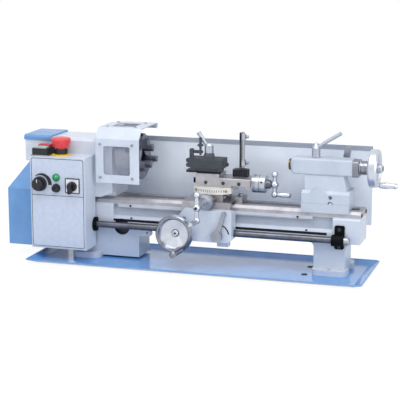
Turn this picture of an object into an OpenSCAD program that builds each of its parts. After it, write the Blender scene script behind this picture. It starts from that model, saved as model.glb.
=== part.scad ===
/* [Tray] */
// Length of the chip tray over its rim
tray_l = 732; // [720:1:750]
// Depth of the chip tray over its rim
tray_w = 218; // [212:1:230]
// Height of the tray rim
rim_h = 9; // [7:1:14]
// How far the tray rim flares out
rim_run = 20; // [14:1:24]
// Thickness of the folded sheet pieces
sheet = 2; // [1.5:0.25:2.5]

/* [Bed] */
// Height of the ways above the floor
bed_top = 136; // [132:1:142]
// Width of the bed over its ways
bed_w = 66; // [64:1:68]
// Height of the bed beam under the ways
bed_h = 68; // [66:1:72]
// Right end of the bed
bed_right = 343; // [338:1:350]
// Width of one rail of the ways
rail_w = 22; // [20:1:23]
// Height of the bevel on the outer edges of the ways
way_bevel = 6; // [5:0.5:7]
// Half depth of the feet
foot_reach = 57; // [54:1:60]
// Thickness of the feet
foot_t = 12; // [10:1:14]
// Diameter of the bench bolt holes
bench_hole_d = 9; // [6:0.5:11]

/* [Headstock] */
// Height of the spindle axis over the ways
centre_h = 88; // [86:1:92]
// Right face of the headstock
head_right = -200; // [-202:1:-198]
// Bore through the spindle
spindle_bore = 20; // [14:1:21]

/* [Chuck] */
// Diameter of the chuck
chuck_d = 100; // [96:1:102]
// Length of the chuck body
chuck_l = 48; // [44:1:50]
// Width of a chuck jaw
jaw_w = 12; // [10:1:13]
// How far the jaws stand out of the chuck face
jaw_out = 24; // [20:1:26]

/* [Controls] */
// Width of the control box
box_w = 127; // [124:1:130]
// Depth of the control box
box_d = 57; // [54:1:60]
// Height of the control box
box_h = 201; // [196:1:206]

/* [Carriage] */
// Middle of the saddle along the bed
saddle_x = 15; // [12:1:17]
// Length of the saddle along the bed
saddle_l = 106; // [102:1:110]
// Diameter of the apron handwheel
wheel_d = 81; // [76:1:84]
// Radius of the curved front of the swivel base
swivel_r = 55; // [50:1:60]
// Width of the swivel base
swivel_w = 83; // [76:1:86]
// Width of the tool post block
post_w = 77; // [70:1:77]
// Height of the slot for the tool
tool_slot = 6; // [5:0.5:8]

/* [Tailstock] */
// Middle of the tailstock along the bed
tail_x = 267.5; // [266:0.5:272]
// Diameter of the quill
quill_d = 24; // [22:1:25]
// Diameter of the tailstock handwheel
tail_wheel_d = 80; // [72:1:84]

/* [Hidden] */
$fn = 64;

// Paints
casting_paint = "#b9c0c9";
white_paint = "#e6e7e9";
blue_paint = "#3f6fb5";
ground_steel = "#c9ccd0";
dark_steel = "#3c3e42";
black_paint = "#1d1e20";
clear_sheet = "#cfe3ee";

// Radial gap of a turning or sliding shaft, and of a fixed hub on its shaft
run_gap = 0.05;
hub_gap = 0.02;
// Gap between sliding ways
way_gap = 0.3;
// Overshoot of a cut
over = 1;

// Bed
half_w = bed_w / 2;
flange_y = half_w + 3;
web_y = half_w - way_bevel;
web_t = 8;
bed_bottom = bed_top - bed_h;
rail_low = bed_top - 14;
bed_left = -368;
tray_y = -29;
foot_low = sheet;
leg_left = [-292, -142];
leg_right = [245, 312];
foot_left_x = [-292, -228];
foot_right_x = [245, 318];
hole_x = [-260, 281];
hole_y = foot_reach - 12;
ribs = [[-368, -360], [-292, -284], [-150, -142], [-40, -34], [90, 96], [245, 253], [304, 312]];
end_wall = 8;
slot_low = bed_top - 34;
groove_z = [bed_top - 52, bed_top - 46.5];
groove_deep = 8;
recess_at = [leg_left[1] - 39, bed_top - 64];
recess_r = 18;
recess_deep = 14;
pocket_x = [-200, 285];

// Gears and the lead screw
gear_m = 1.5;
spindle_teeth = 24;
lead_y = -(half_w + 13);
axis_z = bed_top + centre_h;
lead_z = bed_top - 59;
lead_r = 7;
gear_x = [-379, -372];
pulley_x = [-388.5, -380.5];
belt_x = [-387.5, -381.5];
spindle_gear_r = gear_m * spindle_teeth / 2;
train_d = norm([lead_y, lead_z - axis_z]);
idler_teeth = ceil((train_d - 2 * spindle_gear_r) / (2 * gear_m));
idler_r = gear_m * idler_teeth / 2;
train_dir = [lead_y, lead_z - axis_z] / train_d;
train_side = [-train_dir[1], train_dir[0]];
idler_along = (train_d - 2 * idler_r) / 2;
idler_off = sqrt(pow(spindle_gear_r + idler_r, 2) - pow(idler_along, 2));
idler_1 = [0, axis_z] + idler_along * train_dir + idler_off * train_side;
idler_2 = [lead_y, lead_z] - idler_along * train_dir + idler_off * train_side;
stud_r = 5;
motor_at = [72, bed_top - 36];
motor_r = 33;
spindle_pulley_r = 28;
motor_pulley_r = 13;

// Headstock and covers
head_front = -40;
head_back = 57;
foot_front = -22;
foot_run = 28;
foot_rise = 11;
head_top = axis_z + 38;
head_left = -341;
ledge_z = axis_z - 17;
housing_x = -403;
housing_y = [-40, 52];
cap_z = axis_z + 31;
cover_x = -434;
cover_y = [-70, 104];
cover_low = 25;
cover_shoulder = 150;
cover_top_x = -392;
cover_lean = housing_y[0] - 3;
bearing_w = 14;
bearing_r = 23.5;
spindle_r = 17.5;
tail_shaft_r = 13;
nose_x = head_right + 10;
chuck_face = nose_x + chuck_l;
jaw_angles = [100, 220, 340];
jaw_low_r = 13;

// Chuck guard
guard_x = [-230, -131];
guard_front = -60;
guard_low = axis_z - 52;
guard_top = axis_z + 66;
hinge_y = 57;
hinge_z = guard_top - 6;
hinge_r = 4;
knuckle_r = 6;
boss_x = [guard_x[0] + 4, guard_x[0] + 26];

// Controls
box_x = -367;
box_y = head_front - box_d;
box_low = 28;
box_top = box_low + box_h;
panel_t = 1.5;
panel_y = box_y - panel_t;
plate_y = panel_y - panel_t;
speed_at = [box_x + 23.5, box_low + 142];
direction_at = [box_x + box_w - 28.5, box_low + 140];
switch_x = [box_x + 2, box_x + 38];
switch_y = [box_y + 5, box_y + 51];
switch_h = 16;
switch_mid = (switch_y[0] + switch_y[1]) / 2;
stop_at = [box_x + 60, box_y + 31];
shaft_r = 3;
collar_x = [box_x + box_w, box_x + box_w + 5];
collar_r = 15.5;

// Splash guard
splash_y = 78;
splash_x = [head_right - 45, bed_right + 3];
splash_z = [86, axis_z + 34];
splash_lip = 6;

// Carriage
saddle_left = saddle_x - saddle_l / 2;
saddle_right = saddle_x + saddle_l / 2;
saddle_front = -(half_w + 19);
saddle_back = half_w + 11;
saddle_top = bed_top + 6;
apron_front = -70;
apron_back = -(flange_y + 1.5);
apron_left = -68;
apron_right = 77;
apron_top = bed_top - 8;
apron_low = lead_z - 17;
apron_wall = 4;
wheel_x = -42.5;
wheel_z = lead_z + 0.5;
fine_m = 1.25;
wheel_teeth = 16;
apron_idler_teeth = 14;
pinion_teeth = 12;
pinion_r = fine_m * pinion_teeth / 2;
rack_z = [bed_top - 22, rail_low];
rack_x = [-189, 242];
rack_front = -(half_w + 2);
pinion_at = [-27, rack_z[0] + fine_m - pinion_r];
apron_idler = meet([wheel_x, wheel_z], fine_m * (wheel_teeth + apron_idler_teeth) / 2,
                   pinion_at, fine_m * (apron_idler_teeth + pinion_teeth) / 2);
apron_gear_y = [-62, -55];
nut_x = [42, 66];
nut_open = 5;
guide_w = 4;
guide_gap = 0.15;
lever_at = [46, lead_z - 2];
lever_l = 50;
lever_tilt = 18;

// Cross slide, swivel and top slide
cross_x = 19.5;
cross_z = bed_top + 9;
dove_low = 10;
dove_high = 15;
dove_h = 8;
dove_gap = 0.15;
cross_w = 58;
cross_y = [-38, 34];
cross_top = bed_top + 21;
screw_r = 4.5;
crank_y = -128;
crank_arm = 27;
swivel_at = [22, 0];
swivel_front = 44;
pivot_r = 20;
pivot_h = 3;
rail_z = cross_top + 13;
slide_z = rail_z + 4;
slide_x = [-15, 105];
slide_y = 27;
slide_top = slide_z + 16;
seat_z = slide_top + 8;
seat_x = 37;
top_z = slide_z + 4;
top_dove_low = 14;
top_dove_high = 20;
top_rail_x = [-12, 62];
top_crank_x = 152;
top_arm = 21.5;
post_x = 7;
post_shift = 3.5;
post_half = [post_w / 2, 21];
post_plate = 5;
post_neck = [18, 12];
post_top = seat_z + post_plate + tool_slot + 19;
post_stud_r = 8;
rod_at = [76, 20];
rod_r = 4;

// Tailstock
tail_l = 101;
tail_left = tail_x - tail_l / 2;
tail_right = tail_x + tail_l / 2;
plate_top = bed_top + 13;
block_top = plate_top + 27;
quill_r = quill_d / 2;
barrel_x = [tail_left - 26, tail_right + 2];
quill_nose = barrel_x[0] - 8;
barrel_low = axis_z - 17;
barrel_high = axis_z + 17;
tail_cap_x = barrel_x[1] + 13;
tail_screw_r = 5;
lock_x = tail_left + 23;
clamp_at = [tail_left + 69, plate_top + 13];

// Where two circles round p and q meet, on the right of the line from p to q
function meet(p, rp, q, rq) =
  let (d = norm(q - p), u = (q - p) / d, a = (rp * rp - rq * rq + d * d) / (2 * d))
  p + a * u + sqrt(rp * rp - a * a) * [u[1], -u[0]];
// Points along an arc round p, from one angle to another
function arc(p, r, from, to) =
  [for (k = [0:24]) let (a = from + (to - from) * k / 24) p + r * [cos(a), sin(a)]];
function bearing_to(p, q) = atan2(q[1] - p[1], q[0] - p[0]);
// Phase of a wheel of nb teeth that meshes with one of na teeth at phase pa
function mesh(na, pa, nb, towards) = towards + 180 - na / nb * (pa - towards) - 180 / nb;

// Upright section drawn in Y and Z, run along X
module along_x(x0, x1) translate([x0, 0, 0]) rotate([90, 0, 90]) linear_extrude(x1 - x0) children();
// Section drawn in X and Z, run along Y
module along_y(y0, y1) translate([0, y1, 0]) rotate([90, 0, 0]) linear_extrude(y1 - y0) children();
module rod_x(x0, x1, r) translate([x0, 0, 0]) rotate([0, 90, 0]) cylinder(h = x1 - x0, r = r);
module rod_y(y0, y1, r) translate([0, y1, 0]) rotate([90, 0, 0]) cylinder(h = y1 - y0, r = r);
module rod_z(z0, z1, r) translate([0, 0, z0]) cylinder(h = z1 - z0, r = r);
// Turned shapes from outlines of [radius, place along the axis]
module turned_x(outline) rotate([0, 90, 0]) rotate_extrude() polygon(outline);
module turned_y(outline) rotate([-90, 0, 0]) rotate_extrude() polygon(outline);
module box(low, high) translate(low) cube(high - low);

module round_rect(low, high, r) {
  translate([low[0] + r, low[1]]) square([high[0] - low[0] - 2 * r, high[1] - low[1]]);
  translate([low[0], low[1] + r]) square([high[0] - low[0], high[1] - low[1] - 2 * r]);
  for (x = [low[0] + r, high[0] - r], y = [low[1] + r, high[1] - r]) translate([x, y]) circle(r);
}

// Spur wheel with slim teeth, a tooth pointing at the phase angle
module gear(n, m, phase) {
  rp = n * m / 2;
  flanks = [[rp - 1.2 * m, -0.27], [rp + 0.9 * m, -0.11], [rp + 0.9 * m, 0.11], [rp - 1.2 * m, 0.27]];
  polygon([for (k = [0:n - 1]) for (f = flanks)
    f[0] * [cos(phase + (k + f[1]) * 360 / n), sin(phase + (k + f[1]) * 360 / n)]]);
}

// Ball crank in the plane across its axis, arm pointing up, grip at the lower ball
module crank_arms(arm) {
  sphere(r = 8.5);
  for (s = [-1, 1]) {
    translate([0, 0, s * arm]) sphere(r = 7);
    translate([0, 0, s * 6]) mirror([0, 0, s < 0 ? 1 : 0]) cylinder(h = arm - 8, r1 = 5, r2 = 4);
  }
}

// Sloping-sided pan, from a low plane up past the rim by a margin
module pan(low, grow) {
  high = rim_h + grow;
  flare = rim_run * (high - low) / rim_h;
  half = [tray_l / 2 - rim_run, tray_w / 2 - rim_run];
  intersection() {
    along_x(-tray_l, tray_l)
      polygon([[-half[1], low], [half[1], low], [half[1] + flare, high], [-half[1] - flare, high]]);
    along_y(-tray_w, tray_w)
      polygon([[-half[0], low], [half[0], low], [half[0] + flare, high], [-half[0] - flare, high]]);
  }
}

module chip_tray() {
  color(blue_paint) difference() {
    translate([0, tray_y, 0]) difference() {
      pan(0, 0);
      pan(sheet, over);
    }
    bench_holes();
  }
}

module bench_holes() {
  for (x = hole_x, y = [-hole_y, hole_y])
    translate([x, y, 0]) rod_z(-over, foot_low + foot_t + over, bench_hole_d / 2);
}

module bed_side() {
  polygon([[0, bed_bottom], [-flange_y, bed_bottom], [-flange_y, rail_low - 4], [-half_w, rail_low - 1],
           [-half_w, bed_top - way_bevel], [-web_y, bed_top], [0, bed_top]]);
}

module bed_pocket() {
  intersection() {
    along_x(pocket_x[0], pocket_x[1])
      polygon([[-flange_y - over, bed_top - 45.5], [-web_y, bed_top - 40], [-web_y, rail_low],
               [-flange_y - over, rail_low]]);
    along_y(-flange_y - over, 0)
      round_rect([pocket_x[0], bed_top - 48], [pocket_x[1], rail_low + 20], 12);
  }
}

// Leg outline with coved tops, from foot to beam
module leg(x, cove) {
  translate([x[0], foot_low + 4]) square([x[1] - x[0], bed_bottom - foot_low - 4]);
  for (side = [0, 1]) translate([x[side], bed_bottom]) mirror([side ? 0 : 1, 0]) difference() {
    translate([0, -cove]) square(cove);
    translate([cove, -cove]) circle(cove);
  }
}

module bed() {
  color(casting_paint) difference() {
    union() {
      for (m = [0, 1]) mirror([0, m, 0]) along_x(bed_left, bed_right) bed_side();
      along_y(-half_w + 1, half_w - 1) leg(leg_right, 12);
      along_y(-half_w - 1, half_w + 1) leg(leg_left, 14);
      for (x = [foot_left_x, foot_right_x]) translate([0, 0, foot_low]) linear_extrude(foot_t)
        round_rect([x[0], -foot_reach], [x[1], foot_reach], 15);
      along_y(-flange_y, -web_y) {
        translate([leg_left[1] - 2, bed_bottom - 14]) square([24, 15]);
        translate([leg_left[1] + 22, bed_bottom - 7]) circle(7);
      }
    }
    for (m = [0, 1]) mirror([0, m, 0]) bed_pocket();
    for (k = [0:len(ribs) - 1]) {
      right = k < len(ribs) - 1 ? ribs[k + 1][0] : bed_right - end_wall;
      box([ribs[k][1], web_t - web_y, -over], [right, web_y - web_t, rail_low]);
    }
    box([pocket_x[0], -flange_y - over, groove_z[0]],
        [pocket_x[1] - 12, groove_deep - flange_y, groove_z[1]]);
    box([head_right + 10, web_t - web_y, slot_low], [bed_right - end_wall, web_y - web_t, rail_low]);
    box([head_right + 10, rail_w - half_w, rail_low - over],
        [bed_right - end_wall, half_w - rail_w, bed_top + over]);
    translate([recess_at[0], 0, recess_at[1]]) rod_y(-flange_y - over, recess_deep - flange_y, recess_r);
    translate([leg_left[1] + 20, 0, bed_bottom - 6]) rod_y(-flange_y - over, 0, 2.5);
    bench_holes();
  }
}

module rack() {
  pitch = PI * fine_m;
  count = floor((rack_x[1] - rack_x[0]) / pitch) - 1;
  first = pinion_at[0] + pitch / 2 - pitch * floor((pinion_at[0] - rack_x[0]) / pitch);
  root_z = rack_z[0] + 2.1 * fine_m;
  flanks = [[-0.27, root_z], [-0.11, rack_z[0]], [0.11, rack_z[0]], [0.27, root_z]];
  color(dark_steel) along_y(rack_front, -web_y)
    polygon(concat([[rack_x[0], rack_z[1]], [rack_x[0], root_z]],
      [for (k = [0:count - 1]) for (f = flanks) [first + (k + f[0]) * pitch, f[1]]],
      [[rack_x[1], root_z], [rack_x[1], rack_z[1]]]));
}

module headstock() {
  color(white_paint) difference() {
    union() {
      along_x(head_left, head_right)
        polygon([[head_front, bed_top], [head_front, head_top - 5], [head_front + 5, head_top],
                 [head_back - 5, head_top], [head_back, head_top - 5], [head_back, bed_top]]);
      box([bed_left, head_front, bed_top], [head_left, head_back, ledge_z]);
      box([housing_x, housing_y[0], ledge_z + 1], [head_left, housing_y[1], cap_z]);
    }
    box([housing_x + sheet + 1, housing_y[0] + sheet + 1, ledge_z],
        [head_left, housing_y[1] - sheet - 1, cap_z + over]);
    along_y(head_front - over, foot_front)
      polygon([[head_right - foot_run, bed_top], [head_right + over, bed_top - over],
               [head_right + over, bed_top + foot_rise]]);
    translate([0, 0, axis_z]) {
      rod_x(head_left - over, head_right + over, spindle_r + 2.5);
      rod_x(head_left - over, head_left + bearing_w, bearing_r);
      rod_x(head_right - bearing_w, head_right + over, bearing_r);
    }
  }
  color(white_paint)
    box([housing_x, housing_y[0], ledge_z + 1], [cover_top_x, housing_y[1], ledge_z + 1 + sheet]);
}

module spindle_bearings() {
  color(ground_steel) translate([0, 0, axis_z])
    for (x = [head_left, head_right - bearing_w]) difference() {
      rod_x(x, x + bearing_w, bearing_r - hub_gap);
      rod_x(x - over, x + bearing_w + over, spindle_r + run_gap);
    }
}

module head_cap() {
  front = housing_y[0] - 2;
  back = housing_y[1] + 2;
  rise = 11;
  color(blue_paint) difference() {
    along_x(housing_x - 2, head_left)
      polygon([[front, cap_z], [front, cap_z + rise - 4], [front + 4, cap_z + rise],
               [back - 4, cap_z + rise], [back, cap_z + rise - 4], [back, cap_z]]);
    box([housing_x + 4, front + 6, cap_z - over], [head_left - 4, back - 6, cap_z + rise - 3]);
  }
}

module cover_outline(wall) {
  polygon([[cover_x + wall, cover_low + wall], [cover_x + wall, cover_shoulder - wall / 2],
           [cover_top_x + wall / 2, ledge_z + 1 - wall], [bed_left - 2, ledge_z + 1 - wall],
           [bed_left - 2, cover_low + wall]]);
}

// Cover seen from its end, leaning back at the front over its shoulder
module cover_side(wall) {
  polygon([[cover_y[0] + wall, cover_low + wall], [cover_y[0] + wall, cover_shoulder - wall / 2],
           [cover_lean + wall, ledge_z + 1 - wall], [cover_y[1] - wall, ledge_z + 1 - wall],
           [cover_y[1] - wall, cover_low + wall]]);
}

module end_cover() {
  wall = sheet + 0.5;
  color(blue_paint) difference() {
    intersection() {
      along_y(cover_y[0], cover_y[1]) cover_outline(0);
      along_x(cover_x, bed_left - 2) cover_side(0);
    }
    intersection() {
      along_y(cover_y[0], cover_y[1]) cover_outline(wall);
      along_x(cover_x, bed_left - 2) cover_side(wall);
    }
    along_x(bed_left - 2 - over, bed_left) cover_side(wall);
    box([cover_top_x + 3, housing_y[0] + sheet + 1, ledge_z - 10],
        [bed_left, housing_y[1] - sheet - 1, ledge_z + 10]);
  }
}

module gear_plate() {
  color(ground_steel) difference() {
    union() {
      along_x(bed_left - 2, bed_left) cover_side(0);
      for (p = [idler_1, idler_2])
        translate([0, p[0], p[1]]) rod_x(gear_x[0] - 0.5, bed_left - 1, stud_r);
    }
    translate([0, lead_y, lead_z]) rod_x(bed_left - 3, bed_left + over, lead_r + 1);
    translate([0, motor_at[0], motor_at[1]]) rod_x(bed_left - 3, bed_left + over, 12);
  }
}

module motor() {
  color(dark_steel) difference() {
    union() {
      translate([0, motor_at[0], motor_at[1]])
        turned_x([[0, bed_left + 2], [motor_r - 8, bed_left + 2], [motor_r - 2, bed_left + 8],
                  [motor_r - 2, bed_left + 16], [motor_r, bed_left + 16], [motor_r, bed_left + 88],
                  [motor_r - 2, bed_left + 88], [motor_r - 2, bed_left + 96], [motor_r - 9, bed_left + 104],
                  [0, bed_left + 104]]);
      box([bed_left + 24, flange_y, motor_at[1] - 20],
          [bed_left + 80, motor_at[0] - 20, motor_at[1] + 12]);
    }
    translate([0, motor_at[0], motor_at[1]]) rod_x(bed_left, bed_left + 22, 5 + run_gap);
  }
}

module motor_pulley() {
  color(ground_steel) translate([0, motor_at[0], motor_at[1]])
    turned_x([[0, pulley_x[0]], [motor_pulley_r, pulley_x[0]], [motor_pulley_r, pulley_x[1]],
              [5, pulley_x[1]], [5, bed_left + 20], [0, bed_left + 20]]);
}

// Outline round both pulleys, grown by a margin
module belt_loop(grow) {
  a = [0, axis_z];
  ra = spindle_pulley_r + grow;
  rb = motor_pulley_r + grow;
  line = bearing_to(a, motor_at);
  lean = acos((ra - rb) / norm(motor_at - a));
  polygon(concat(arc(a, ra, line + lean, line + 360 - lean),
                 arc(motor_at, rb, line - lean, line + lean)));
}

module drive_belt() {
  color(black_paint) along_x(belt_x[0], belt_x[1]) difference() {
    belt_loop(4);
    belt_loop(way_gap);
  }
}

module spindle() {
  color(ground_steel) translate([0, 0, axis_z])
    turned_x([[spindle_bore / 2, housing_x + 5], [tail_shaft_r, housing_x + 5],
              [tail_shaft_r, head_left + over], [spindle_r, head_left + over], [spindle_r, head_right + 0.5],
              [26, head_right + 0.5], [26, nose_x], [spindle_bore / 2, nose_x]]);
}

spindle_phase = 0;
module spindle_pulley() {
  color(dark_steel) translate([0, 0, axis_z]) difference() {
    union() {
      rod_x(pulley_x[0], pulley_x[1], spindle_pulley_r);
      rod_x(pulley_x[1] - over, gear_x[0] + over, spindle_gear_r - 2);
      along_x(gear_x[0], gear_x[1]) gear(spindle_teeth, gear_m, spindle_phase);
    }
    rod_x(pulley_x[0] - over, gear_x[1] + over, tail_shaft_r + hub_gap);
  }
}

idler_1_phase = mesh(spindle_teeth, spindle_phase, idler_teeth, bearing_to([0, axis_z], idler_1));
idler_2_phase = mesh(idler_teeth, idler_1_phase, idler_teeth, bearing_to(idler_1, idler_2));
lead_phase = mesh(idler_teeth, idler_2_phase, spindle_teeth, bearing_to(idler_2, [lead_y, lead_z]));

module idler(p, phase) {
  color(ground_steel) translate([0, p[0], p[1]]) along_x(gear_x[0], gear_x[1]) difference() {
    gear(idler_teeth, gear_m, phase);
    circle(stud_r + run_gap);
    for (a = [0:72:359]) rotate(a) translate([idler_r * 0.56, 0]) circle(5);
  }
}

module idler_gear_1() idler(idler_1, idler_1_phase);
module idler_gear_2() idler(idler_2, idler_2_phase);

module lead_screw() {
  color(ground_steel) translate([0, lead_y, lead_z]) {
    turned_x([[0, gear_x[0] - 4], [lead_r, gear_x[0] - 4], [lead_r, 285], [lead_r - 1, 285],
              [lead_r - 1, 312], [lead_r + 1.5, 312], [lead_r + 1.5, 320], [lead_r - 1, 323], [0, 323]]);
    along_x(gear_x[0], gear_x[1]) gear(spindle_teeth, gear_m, lead_phase);
  }
}

module lead_brackets() {
  color(black_paint) {
    translate([0, lead_y, lead_z]) difference() {
      rod_x(collar_x[0], collar_x[1], collar_r);
      rod_x(collar_x[0] - over, collar_x[1] + over, lead_r + run_gap);
      box([collar_x[0] - over, -flange_y - lead_y, -collar_r], [collar_x[1] + over, collar_r, collar_r]);
    }
    difference() {
      union() {
        along_y(lead_y + 6, -flange_y) {
          round_rect([290, lead_z - 7], [311, lead_z + 30], 4);
          round_rect([290, lead_z - 20], [310, lead_z + 10], 4);
        }
        translate([0, lead_y, lead_z]) rod_x(286, 311, 12);
      }
      translate([0, lead_y, lead_z]) rod_x(280, 320, lead_r - 1 + run_gap);
      box([280, -flange_y, lead_z - 30], [320, 0, lead_z + 30]);
    }
  }
}

module chuck_body() {
  color(dark_steel) translate([0, 0, axis_z]) difference() {
    r = chuck_d / 2;
    turned_x([[11, nose_x], [r - 2, nose_x], [r - 2, nose_x + 10], [r, nose_x + 10], [r, chuck_face - 2],
              [r - 2, chuck_face], [11, chuck_face]]);
    for (a = jaw_angles) rotate([a, 0, 0]) {
      box([chuck_face - 22, 8, -jaw_w / 2 - 0.2], [chuck_face + over, r + over, jaw_w / 2 + 0.2]);
      rotate([60, 0, 0]) translate([chuck_face - 20, 0, 0]) rod_y(r - 14, r + over, 5);
    }
  }
}

module chuck_jaw(a) {
  tip = chuck_face + jaw_out;
  back = chuck_face - 21.8;
  half = jaw_w / 2;
  color(ground_steel) translate([0, 0, axis_z]) rotate([a, 0, 0]) intersection() {
    translate([0, 0, -half]) linear_extrude(jaw_w)
      polygon([[back, jaw_low_r], [back, 46], [chuck_face + 2, 46], [chuck_face + 2, 38], [tip - 11, 38],
               [tip - 11, 27], [tip, 27], [tip, jaw_low_r]]);
    along_x(back - over, tip + over)
      polygon([[jaw_low_r, -2], [jaw_low_r + 7, -half], [60, -half], [60, half], [jaw_low_r + 7, half],
               [jaw_low_r, 2]]);
  }
}

module chuck_jaw_1() chuck_jaw(jaw_angles[0]);
module chuck_jaw_2() chuck_jaw(jaw_angles[1]);
module chuck_jaw_3() chuck_jaw(jaw_angles[2]);

module chuck_guard() {
  front_in = guard_front + sheet;
  color(white_paint) difference() {
    union() {
      along_x(guard_x[0], guard_x[1])
        polygon([[guard_front, guard_low], [guard_front, guard_top - 22], [guard_front + 20, guard_top],
                 [hinge_y - 3, guard_top], [hinge_y - 3, guard_top - sheet],
                 [guard_front + 20.9, guard_top - sheet], [front_in, guard_top - 22.8],
                 [front_in, guard_low]]);
      translate([0, hinge_y, hinge_z]) rod_x(boss_x[1] + over, guard_x[1], knuckle_r);
    }
    box([guard_x[0] - over, hinge_y - 18, guard_top - 3 * sheet],
        [boss_x[1] + over, hinge_y + over, guard_top + over]);
    translate([0, hinge_y, hinge_z]) rod_x(guard_x[0] - over, guard_x[1] + over, hinge_r + run_gap);
    along_y(guard_front - over, front_in + over)
      round_rect([guard_x[0] + 18, guard_low + 18], [guard_x[1] - 21, guard_top - 38], 4);
    translate([0, 0, guard_top - 3 * sheet]) linear_extrude(4 * sheet)
      round_rect([guard_x[0] + 22, -24], [guard_x[1] - 25, 34], 4);
  }
}

module guard_windows() {
  front_in = guard_front + sheet;
  color(clear_sheet) {
    along_y(front_in, front_in + sheet)
      round_rect([guard_x[0] + 9, guard_low + 9], [guard_x[1] - 12, guard_top - 29], 3);
    translate([0, 0, guard_top - 2 * sheet]) linear_extrude(sheet)
      round_rect([guard_x[0] + 13, -33], [guard_x[1] - 16, 43], 3);
  }
}

module guard_hinge() {
  color(white_paint) {
    translate([0, hinge_y, hinge_z]) rod_x(boss_x[0], guard_x[1] - over, hinge_r);
    along_x(boss_x[0], boss_x[1]) {
      translate([hinge_y - 14, head_top]) square([14, hinge_z - head_top]);
      translate([hinge_y, hinge_z]) circle(knuckle_r - 1);
    }
  }
}

module control_box() {
  walls = [box_x + sheet, box_x + box_w - sheet];
  color(white_paint) difference() {
    box([box_x, box_y, box_low], [box_x + box_w, head_front, box_top]);
    box([walls[0], box_y + sheet, box_low + sheet], [walls[1], head_front + over, box_top - sheet]);
    translate([0, lead_y, lead_z]) rod_x(box_x - over, box_x + box_w + over, lead_r + 2);
    for (p = [speed_at, direction_at])
      translate([p[0], 0, p[1]]) rod_y(box_y - over, box_y + 4, shaft_r + run_gap);
    translate([stop_at[0], stop_at[1], 0]) rod_z(box_top - 4, box_top + over, 10.5);
  }
}

module control_panel() {
  color(casting_paint) difference() {
    union() {
      along_y(panel_y, box_y) round_rect([box_x + 1, box_low + 2], [box_x + box_w - 1, box_top - 1], 5);
      translate([direction_at[0], 0, direction_at[1]]) along_y(plate_y, panel_y)
        round_rect([-15.5, -16], [15.5, 17], 2);
    }
    for (p = [speed_at, direction_at])
      translate([p[0], 0, p[1]]) rod_y(plate_y - over, box_y + over, shaft_r + run_gap);
  }
}

module speed_knob() {
  front = panel_y - 0.4;
  color(black_paint) translate([speed_at[0], 0, speed_at[1]]) difference() {
    turned_y([[0, box_y + 2], [shaft_r, box_y + 2], [shaft_r, front], [16, front], [16, front - 4],
              [13, front - 5], [12, front - 17], [10.5, front - 19], [0, front - 19]]);
    box([-0.8, front - 20, 5], [0.8, front - 18, 13]);
  }
}

module direction_knob() {
  front = plate_y - 0.4;
  color(black_paint) translate([direction_at[0], 0, direction_at[1]]) {
    turned_y([[0, box_y + 2], [shaft_r, box_y + 2], [shaft_r, front], [11, front], [10, front - 8],
              [0, front - 8]]);
    along_y(front - 19, front - 8) round_rect([-4, -14], [4, 9], 3);
  }
}

module switch_frame() {
  well = [switch_x[0] + 4, switch_x[1] - 4];
  color(black_paint) translate([0, 0, box_top]) difference() {
    linear_extrude(switch_h) round_rect([switch_x[0], switch_y[0]], [switch_x[1], switch_y[1]], 3);
    for (y = [[switch_y[0] + 3, switch_mid - 1], [switch_mid + 1, switch_y[1] - 3]])
      box([well[0], y[0], 3], [well[1], y[1], switch_h + over]);
  }
}

// Push button in one well of the switch frame, standing proud by a rise
module push_button(y, rise) {
  gap = 0.4;
  translate([0, 0, box_top + 8]) linear_extrude(switch_h - 8 + rise)
    round_rect([switch_x[0] + 4 + gap, y[0] + gap], [switch_x[1] - 4 - gap, y[1] - gap], 2);
}

module start_button() color("#2f9e44") push_button([switch_y[0] + 3, switch_mid - 1], 3);
module stop_button() color("#d4252b") push_button([switch_mid + 1, switch_y[1] - 3], 5);

module stop_base() {
  color("#e8c21a") translate([stop_at[0], stop_at[1], box_top])
    rotate_extrude() polygon([[10.5, 0], [21, 0], [21, 2], [14, 2.5], [14, 13], [10.5, 13]]);
}

module stop_mushroom() {
  color("#d4252b") translate([stop_at[0], stop_at[1], box_top]) rotate_extrude()
    polygon([[0, -2], [10.5 - run_gap, -2], [10.5 - run_gap, 17.5], [16.5, 17.5], [18, 22], [20.5, 29],
             [21.5, 34], [20, 37], [14, 38.5], [0, 39]]);
}

module splash_guard() {
  color(white_paint) {
    along_x(splash_x[0], splash_x[1])
      polygon([[splash_y, splash_z[0]], [splash_y + sheet, splash_z[0]], [splash_y + sheet, splash_z[1] - 12],
               [splash_y + sheet - splash_lip, splash_z[1]], [splash_y - splash_lip, splash_z[1]],
               [splash_y, splash_z[1] - 12]]);
    for (x = [-180, 60, 250]) {
      box([x, flange_y, bed_bottom + 6], [x + 36, flange_y + 3, bed_bottom + 24]);
      box([x, flange_y, bed_bottom + 21], [x + 36, splash_y, bed_bottom + 24]);
      box([x, splash_y - 3, bed_bottom + 21], [x + 36, splash_y, bed_bottom + 52]);
    }
  }
}

// Underside that fits the ways, from the left lip to the right lip
function way_fit(lip) = [
  [-lip, bed_top - way_bevel + 2 * way_gap], [-half_w + way_gap, bed_top - way_bevel + 2 * way_gap],
  [-web_y - way_gap, bed_top], [web_y + way_gap, bed_top],
  [half_w - way_gap, bed_top - way_bevel + 2 * way_gap], [lip, bed_top - way_bevel + 2 * way_gap]];

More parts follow.
